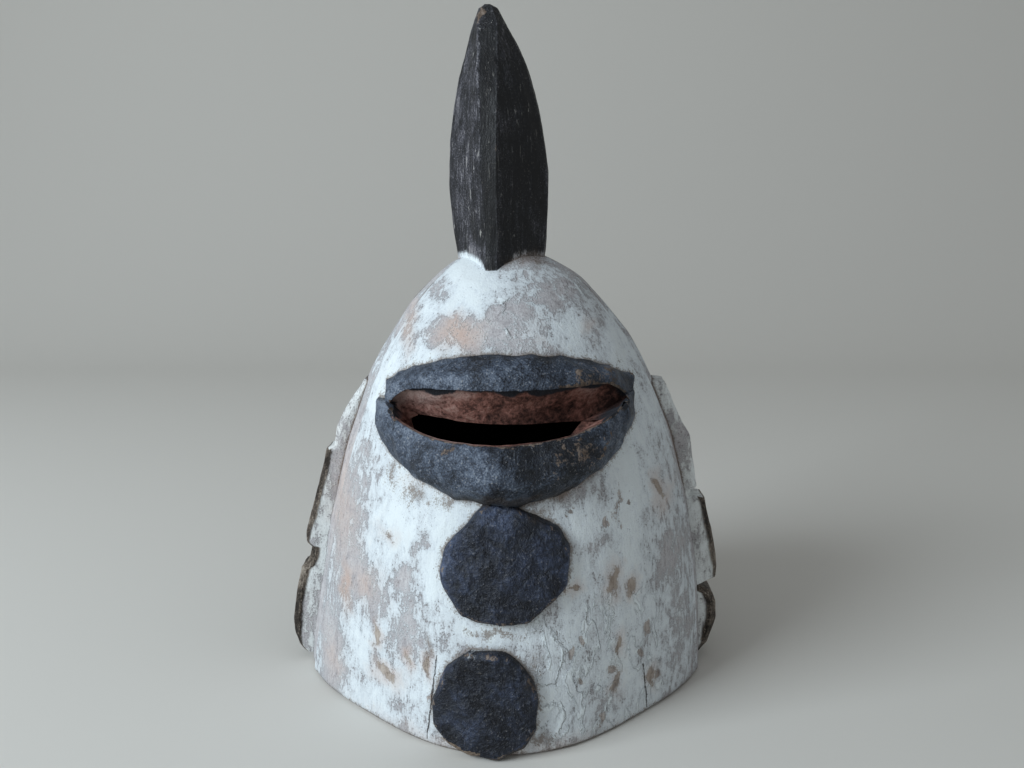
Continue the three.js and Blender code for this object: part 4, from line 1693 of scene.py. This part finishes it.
    # Black covers the back and the raised parts, and runs from the upper lip into the mouth.
    feather: float = 1.6
    back_at: Range = (84.0, 92.0)
    white_crown_at: Range = (226.0, 240.0)
    mouth_runs: Pairs = (
        (-60.0, 2.0), (-48.0, 3.0), (-36.0, 7.5), (-26.0, 4.0), (-8.0, 3.0), (4.0, 6.5), (11.0, 3.5),
        (18.0, 8.0), (28.0, 4.5), (44.0, 5.0), (58.0, 3.0),
    )
    runs_above: float = 166.0
    run_border: Range = (-1.5, 2.0)
    crest_front: float = -3.5
    crest_side_from: Range = (4.0, 10.0)
    crest_feather: Range = (1.5, 7.5)
    crest_foot_front: float = 0.6
    crest_foot_left: float = 0.24
    crest_foot_right: float = 0.42

    def apply(self, block: bpy.types.Object) -> None:
        """Writes the map into the mesh as attributes.

        Args:
            block: The carved block, made of triangles.
        """
        surface = Surface.of(block.data)
        points = surface.points
        uneven = self.ruffled(points)
        foot = surface.border((Zone.LIPS, Zone.BOSSES, Zone.CREST), (Zone.DOME, Zone.COMBS))
        lip_edge = surface.border((Zone.LIPS,), (Zone.MOUTH,))
        angle = self.dome.angle_of(points)
        past = np.abs(angle) - self.dome.arris_at(points[:, 2], np.sign(angle))
        low = points[:, 2] < self.between_lips
        rubbed = self.lip_wear * np.exp(-lip_edge / self.lip_wear_reach) * low
        high = (points[:, 2] > self.between_lips) & (points[:, 0] < self.spared_to)
        spared = self.spared * np.exp(-lip_edge / self.spared_reach) * high
        values = {
            "worn": np.maximum(self.blend(self.worn, uneven), rubbed),
            "coat": self.coat_and_shading_at(surface, uneven, angle, past),
            "rust": self.blend(self.rust, uneven),
            "flaky": smoothstep(self.blend(self.flaky, uneven), *self.flaky_at),
            "grime": self.dirt_and_shade_at(surface, uneven, foot, past),
            "edge": surface.convexity(self.edge_at) * (1 - spared),
        }
        for name, value in values.items():
            layer = block.data.attributes.new(name, "FLOAT", "POINT")
            layer.data.foreach_set("value", value.astype(np.float32))
        layer = block.data.attributes.new("soot", "FLOAT", "CORNER")
        layer.data.foreach_set("value", self.soot_at(surface, foot, lip_edge).astype(np.float32))

    @staticmethod
    def ruffled(points: Array) -> Array:
        """Shifts points to and fro by a millimetre or two, which gives patches uneven outlines.

        Args:
            points: The points, in millimetres.

        Returns:
            The shifted points.
        """
        x, z = points[:, 0], points[:, 2]
        aside = 1.3 * np.sin(z / 2.9 + 1.3 * np.sin(x / 6.1)) + 0.6 * np.sin(z / 1.2 + x / 2.2)
        along = 1.6 * np.sin(x / 3.3 + 1.1 * np.sin(z / 5.3)) + 0.7 * np.sin(x / 1.4 - z / 2.6)
        return points + np.column_stack([aside, np.zeros(len(points)), along])

    @staticmethod
    def blend(group: Sequence[Patch], points: Array) -> Array:
        """The strongest cover of several patches at each point."""
        return np.max([patch.cover(points) for patch in group], axis=0)

    def coat_and_shading_at(self, surface: Surface, uneven: Array, angle: Array, past: Array) -> Array:
        """How much thicker or thinner than usual the paint is at each point, with painted light and shade
        added.

        Painted shade lies deep in the mouth, in its right corner and on the crest's front strip, and a
        painted highlight on the crest's left arris.

        Args:
            surface: The carved block.
            uneven: Its points, ruffled.
            angle: Their angles from the front, in degrees.
            past: How far they lie behind the arris, in degrees.

        Returns:
            One value for each point.
        """
        points = surface.points
        behind = smoothstep(past, *self.behind_at) * (np.abs(angle) < self.behind_to) * surface.on(Zone.DOME)
        face = self.dome.face_point(points[:, 0] - self.dome.axis_x, points[:, 2])
        # Painted shade deeper in the mouth and in its right corner.
        deep = self.deep_shade * smoothstep(points[:, 1] - face[:, 1], *self.deep_at)
        corner = self.corner_shade * smoothstep(points[:, 0], *self.corner_at)
        # Painted shade on the crest's front strip, and a painted highlight on its left arris.
        ahead = surface.normals @ np.array(self.crest_ahead)
        strip = surface.on(Zone.CREST) * smoothstep(ahead, *self.strip_at) * (points[:, 1] < 0)
        arris = surface.on(Zone.CREST) * (1 - strip) * smoothstep(ahead, *self.crest_arris_at)
        arris = arris * smoothstep(-surface.normals[:, 0], *self.crest_side_at)
        thick = sum(patch.cover(uneven) for patch in self.coat)
        thin_and_shaded = behind + surface.on(Zone.MOUTH) * (deep + corner) + self.strip_shade * strip
        return thick - thin_and_shaded + self.crest_arris_highlight * arris

    def dirt_and_shade_at(self, surface: Surface, uneven: Array, foot: Array, past: Array) -> Array:
        """How much dirt and painted shade darken each point, from 0 to about 1.

        Shade is painted in the creases and along the rim, and painted shadow lines in the groove and at the
        combs' feet.

        Args:
            surface: The carved block.
            uneven: Its points, ruffled.
            foot: Their distances from the foot of the lips, the bosses and the crest.
            past: How far they lie behind the arris, in degrees.

        Returns:
            One value for each point.
        """
        x, z = surface.points[:, 0], surface.points[:, 2]
        # Painted shadow line in the groove behind the arris.
        line = np.exp(-((past - self.groove_line) / self.groove_spread) ** 2) * (z < self.crown_from)
        line = line * lerp(*self.groove_shadow, smoothstep(z, *self.groove_darkens))
        # Dirt and painted shade round the foot of the lips, the bosses and the crest.
        crease = self.crease_dirt_and_shade * np.exp(-foot / self.crease_reach)
        crease = np.where((z > self.crown_from) & (x < 0.0), self.crown_crease * crease, crease)
        # Painted shadow line where the combs meet the dome.
        seam = np.exp(-surface.border((Zone.COMBS,), (Zone.DOME,)) / self.seam_reach)
        seam = seam * lerp(*self.seam_shadow, smoothstep(z, *self.seam_darkens))
        # Dirt and painted contact shade along the rim, where it meets the floor.
        rim = self.rim_dirt_and_shade * np.exp(-np.abs(z) / self.rim_reach)
        return np.max((self.blend(self.soiled_and_shaded, uneven), crease, line, rim, seam), axis=0)

    def soot_at(self, surface: Surface, foot: Array, lip_edge: Array) -> Array:
        """How black the paint is at each corner of a face, from 0, white, to 1, black.

        Args:
            surface: The carved block.
            foot: The points' distances from the foot of the lips, the bosses and the crest.
            lip_edge: Their distances from the edge between the lips and the mouth.

        Returns:
            One value for each corner.
        """
        points, zones, foot = surface.points[surface.corners], surface.zones, foot[surface.corners]
        angle = np.abs(self.dome.angle_of(points))
        soot = smoothstep(angle, *self.back_at) * (1 - smoothstep(points[:, 2], *self.white_crown_at))
        black = np.isin(zones, (Zone.LIPS.value, Zone.BOSSES.value, Zone.CREST.value))
        rubbed = 1 - self.blend(self.smudged, points)
        soot = np.where(black, (0.5 + 0.5 * smoothstep(foot, 0.0, self.feather)) * rubbed, soot)

        # The crest's foot is faded, most on its left, where the dome's white has rubbed off on it.
        aside = smoothstep(np.abs(points[:, 0] - self.crest_front), *self.crest_side_from)
        beside = np.where(points[:, 0] < self.crest_front, self.crest_foot_left, self.crest_foot_right)
        faded = lerp(self.crest_foot_front, beside, aside)
        faded = lerp(faded, 1.0, smoothstep(foot, 0.0, lerp(*self.crest_feather, aside)))
        soot = np.where(zones == Zone.CREST.value, faded, soot)
        for comb in self.combs:
            there = (zones == Zone.COMBS.value) & (np.sign(points[:, 0] - self.dome.axis_x) == comb.side)
            soot = np.where(there, comb.soot_at(points, surface.face_normals), soot)
        run = np.interp(surface.points[:, 0], *zip(*self.mouth_runs))
        run = lip_edge - run * (surface.points[:, 2] > self.runs_above)
        in_mouth = (1 - smoothstep(run, *self.run_border))[surface.corners]
        return np.where(zones == Zone.MOUTH.value, in_mouth, soot)


@dataclass
class Mask:
    """The whole mask: its sub-assemblies and how they are joined."""

    dome: Dome = Dome()
    finishes: Finishes = Finishes()
    smooth_below: float = 38.0
    sliver: float = 0.03
    mending_passes: int = 4
    red_overlap: float = 1.5

    def combine(self, block: bpy.types.Object, body: bpy.types.Object, cut: Cut) -> None:
        """Joins a body to the block, or cuts it out, and removes the body.

        Args:
            block: The block of wood.
            body: The body to join or to cut out.
            cut: Which of the two is done.
        """
        modifier = block.modifiers.new("cut", "BOOLEAN")
        modifier.operation = cut.value
        modifier.solver = "MANIFOLD"
        modifier.object = body
        plain_mesh(block)
        bpy.data.objects.remove(body)

    def build(self) -> bpy.types.Object:
        """Carves the block and paints it.

        Returns:
            The finished piece.
        """
        dome, looks = self.dome, self.finishes.build()
        block = dome.build(looks)
        upper, lower = UpperLip(dome), LowerLip(dome)
        combs = (
            Comb(dome, -1, (
                (83.5, 174.5), (90, 165), (95.5, 156), (100, 146.5), (102.4, 134.5), (107.2, 132.5),
                (110, 120.5), (114, 106.5), (117.8, 92.5), (120.5, 82), (121, 75), (118, 72),
                (119.5, 65.5), (121.5, 61), (124.8, 59), (127.6, 47.5), (129.8, 35), (130.6, 27),
                (130, 16.5), (128, 9), (124, 4.5)), ((4, 73, 5.5), (73, 133, 3.8))),
            Comb(dome, 1, (
                (86, 174), (93, 173), (98.4, 160.5), (104.5, 147.5), (108.3, 141), (110.8, 128),
                (113.8, 109.5), (110, 107), (110, 104), (118.7, 102.4), (122, 87.5), (125, 76.5),
                (127.4, 60), (126.8, 52.5), (117, 47.5), (125.2, 43), (127.8, 37), (128, 27),
                (126, 19), (123.4, 11), (118, 4.5)), ((4, 48, 6.5), (48, 103, 3.6))),
        )
        raised = [
            upper.build("upper_lip", looks),
            lower.build("lower_lip", looks),
            Boss(dome, 0.0, 98.5, (
                (-10, 28.6), (1, 28.8), (13.3, 22.8), (26, 16), (31, 6.2), (32, -2), (30.4, -11.8),
                (10.8, -28.4), (-14, -28.8), (-23, -25), (-31.6, -12.5), (-32, -6.4), (-30.3, 5.6),
                (-20.6, 17))).build("upper_boss", looks),
            Boss(dome, -10.8, 29.0, (
                (-8, 24.6), (2, 24.8), (12, 23.6), (18, 19.3), (24.8, 9.5), (26.6, 0), (25.4, -13.7),
                (20, -21), (5.3, -27.5), (-10, -25.4), (-19, -22.6), (-25.7, -14), (-27.2, -5),
                (-23.6, 4.6), (-18.7, 14.8))).build("lower_boss", looks),
            combs[0].build("left_comb", looks),
            combs[1].build("right_comb", looks),
            Crest(dome).build(looks),
        ]
        for body in raised:
            self.combine(block, body, Cut.JOIN)
        self.combine(block, Hollow(dome).build(looks), Cut.REMOVE)
        self.combine(block, Mouth(dome, upper, lower).build(looks), Cut.REMOVE)
        block.name = PIECE_NAME
        block.data.name = PIECE_NAME
        self.tidy(block)
        self.redden(block, upper, lower)
        PaintMap(dome, combs).apply(block)
        return block

    def redden(self, block: bpy.types.Object, upper: UpperLip, lower: LowerLip) -> None:
        """Counts the strips of the face between the lips as a part of the mouth.

        Args:
            block: The carved block.
            upper: The lip above them.
            lower: The lip below them.
        """
        for face in block.data.polygons:
            x, y, z = face.center / METRE
            if face.material_index != Zone.DOME.value or y > 0 or abs(x - upper.middle) > upper.half_width:
                continue
            if lower.top_at(x) - self.red_overlap < z < upper.bottom_at(x) + self.red_overlap:
                face.material_index = Zone.MOUTH.value

    def tidy(self, block: bpy.types.Object) -> None:
        """Merges slivers, makes every face a triangle and smooths what isn't an edge.

        Args:
            block: The carved block.
        """
        form = bmesh.new()
        form.from_mesh(block.data)
        bmesh.ops.remove_doubles(form, verts=form.verts, dist=self.sliver * METRE)
        bmesh.ops.triangulate(form, faces=form.faces)
        for _ in range(self.mending_passes):
            self.mend(form)
        self.drop_crumbs(form)
        form.to_mesh(block.data)
        open_edges = sum(len(e.link_faces) != 2 for e in form.edges)
        form.free()
        block.data.shade_smooth()
        block.data.set_sharp_from_angle(angle=math.radians(self.smooth_below))
        LOG.info("%d triangles, %d open edges", len(block.data.polygons), open_edges)

    @staticmethod
    def mend(form: bmesh.types.BMesh) -> None:
        """Takes out the faces round each edge that hasn't two faces, and closes the surface again.

        Args:
            form: The carved block's mesh, in triangles.
        """
        poor = [e for e in form.edges if len(e.link_faces) != 2]
        if not poor:
            return
        around = {f for e in poor for v in e.verts for f in v.link_faces}
        slot = max((f.material_index for f in around), default=0)
        bmesh.ops.delete(form, geom=list(around), context="FACES")
        loose = [v for v in form.verts if not v.link_faces]
        bmesh.ops.delete(form, geom=loose, context="VERTS")
        gaps = [e for e in form.edges if len(e.link_faces) == 1]
        filled = bmesh.ops.holes_fill(form, edges=gaps, sides=0)["faces"]
        for f in filled:
            f.material_index = slot
        bmesh.ops.triangulate(form, faces=filled)

    @staticmethod
    def drop_crumbs(form: bmesh.types.BMesh) -> None:
        """Takes out every sliver that the cuts left loose beside the carving.

        Args:
            form: The carved block's mesh.
        """
        unseen = set(form.faces)
        bodies = []
        while unseen:
            ends = [unseen.pop()]
            body = list(ends)
            while ends:
                beside = {f for e in ends.pop().edges for f in e.link_faces if f in unseen}
                unseen -= beside
                ends.extend(beside)
                body.extend(beside)
            bodies.append(body)
        bodies.sort(key=len)
        for body in bodies[:-1]:
            bmesh.ops.delete(form, geom=body, context="FACES")


@dataclass(frozen=True)
class Studio:
    """The pale floor, the soft light and the camera, in metres and degrees."""

    floor_size: float = 8.0
    floor_colour: str = "d9d6d0"
    floor_roughness: float = 0.9
    sweep_start: float = 1.1
    sweep_radius: float = 0.9
    sweep_height: float = 4.0
    sweep_steps: int = 24
    sky_colour: str = "e6ebee"
    sky_strength: float = 0.38
    key_size: float = 1.1
    key_power: float = 38.0
    key_colour: tuple[float, float, float] = (0.83, 0.93, 1.0)
    key_place: tuple[float, float, float] = (-1.5, -1.05, 1.05)
    aim: tuple[float, float, float] = (0.0, 0.0, 0.15)
    camera_place: tuple[float, float, float] = (0.0042, -0.5826, 0.2737)
    camera_pitch: float = 80.0
    lens: float = 35.0
    sensor: float = 36.0
    nearest: float = 0.01

    def build(self) -> None:
        """Sets the stage."""
        scene = bpy.context.scene
        scene.view_settings.view_transform = "Standard"
        self._floor()
        self._sky()
        lamp = bpy.data.lights.new("window", "AREA")
        lamp.size = self.key_size
        lamp.energy = self.key_power
        lamp.color = self.key_colour
        window = bpy.data.objects.new("window", lamp)
        window.location = self.key_place
        toward = Vector(self.aim) - Vector(self.key_place)
        window.rotation_euler = toward.to_track_quat("-Z", "Y").to_euler()
        scene.collection.objects.link(window)
        lens = bpy.data.cameras.new("camera")
        lens.lens = self.lens
        lens.sensor_width = self.sensor
        lens.clip_start = self.nearest
        camera = bpy.data.objects.new("camera", lens)
        camera.location = self.camera_place
        camera.rotation_euler = (math.radians(self.camera_pitch), 0.0, 0.0)
        scene.collection.objects.link(camera)
        scene.camera = camera

    def _floor(self) -> None:
        """Lays the floor, which curves up into a wall behind the mask."""
        half = self.floor_size / 2
        turns = np.linspace(0, math.pi / 2, self.sweep_steps)
        profile = [(-half, 0.0)]
        radius = self.sweep_radius
        profile += [(self.sweep_start + radius * math.sin(t), radius * (1 - math.cos(t))) for t in turns]
        profile.append((self.sweep_start + radius, self.sweep_height))
        corners = [(side * half, y, z) for y, z in profile for side in (-1, 1)]
        faces = [(2 * k, 2 * k + 1, 2 * k + 3, 2 * k + 2) for k in range(len(profile) - 1)]
        mesh = bpy.data.meshes.new("floor")
        mesh.from_pydata(corners, [], faces)
        mesh.shade_smooth()
        floor = bpy.data.objects.new("floor", mesh)
        bpy.context.scene.collection.objects.link(floor)
        # Matt paper has no shine, so the floor shows the mask's soft shadow and nothing else.
        material = bpy.data.materials.new("matt_paper_floor")
        material.use_nodes = True
        shader = material.node_tree.nodes["Principled BSDF"]
        shader.inputs["Base Color"].default_value = colour(self.floor_colour)
        shader.inputs["Roughness"].default_value = self.floor_roughness
        mesh.materials.append(material)

    def _sky(self) -> None:
        """Fills the room with even light."""
        world = bpy.data.worlds.new("room")
        world.use_nodes = True
        back = world.node_tree.nodes["Background"]
        back.inputs["Color"].default_value = colour(self.sky_colour)
        back.inputs["Strength"].default_value = self.sky_strength
        bpy.context.scene.world = world


def main() -> None:
    """Builds the mask and its stage."""
    logging.basicConfig(level=logging.INFO, format="%(name)s: %(message)s")
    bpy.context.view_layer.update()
    Studio().build()
    piece = Mask().build()
    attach(piece, "root")
    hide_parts("mask")
    LOG.info("%s: %d points, %d faces", piece.name, len(piece.data.vertices), len(piece.data.polygons))


if __name__ == "__main__":
    main()
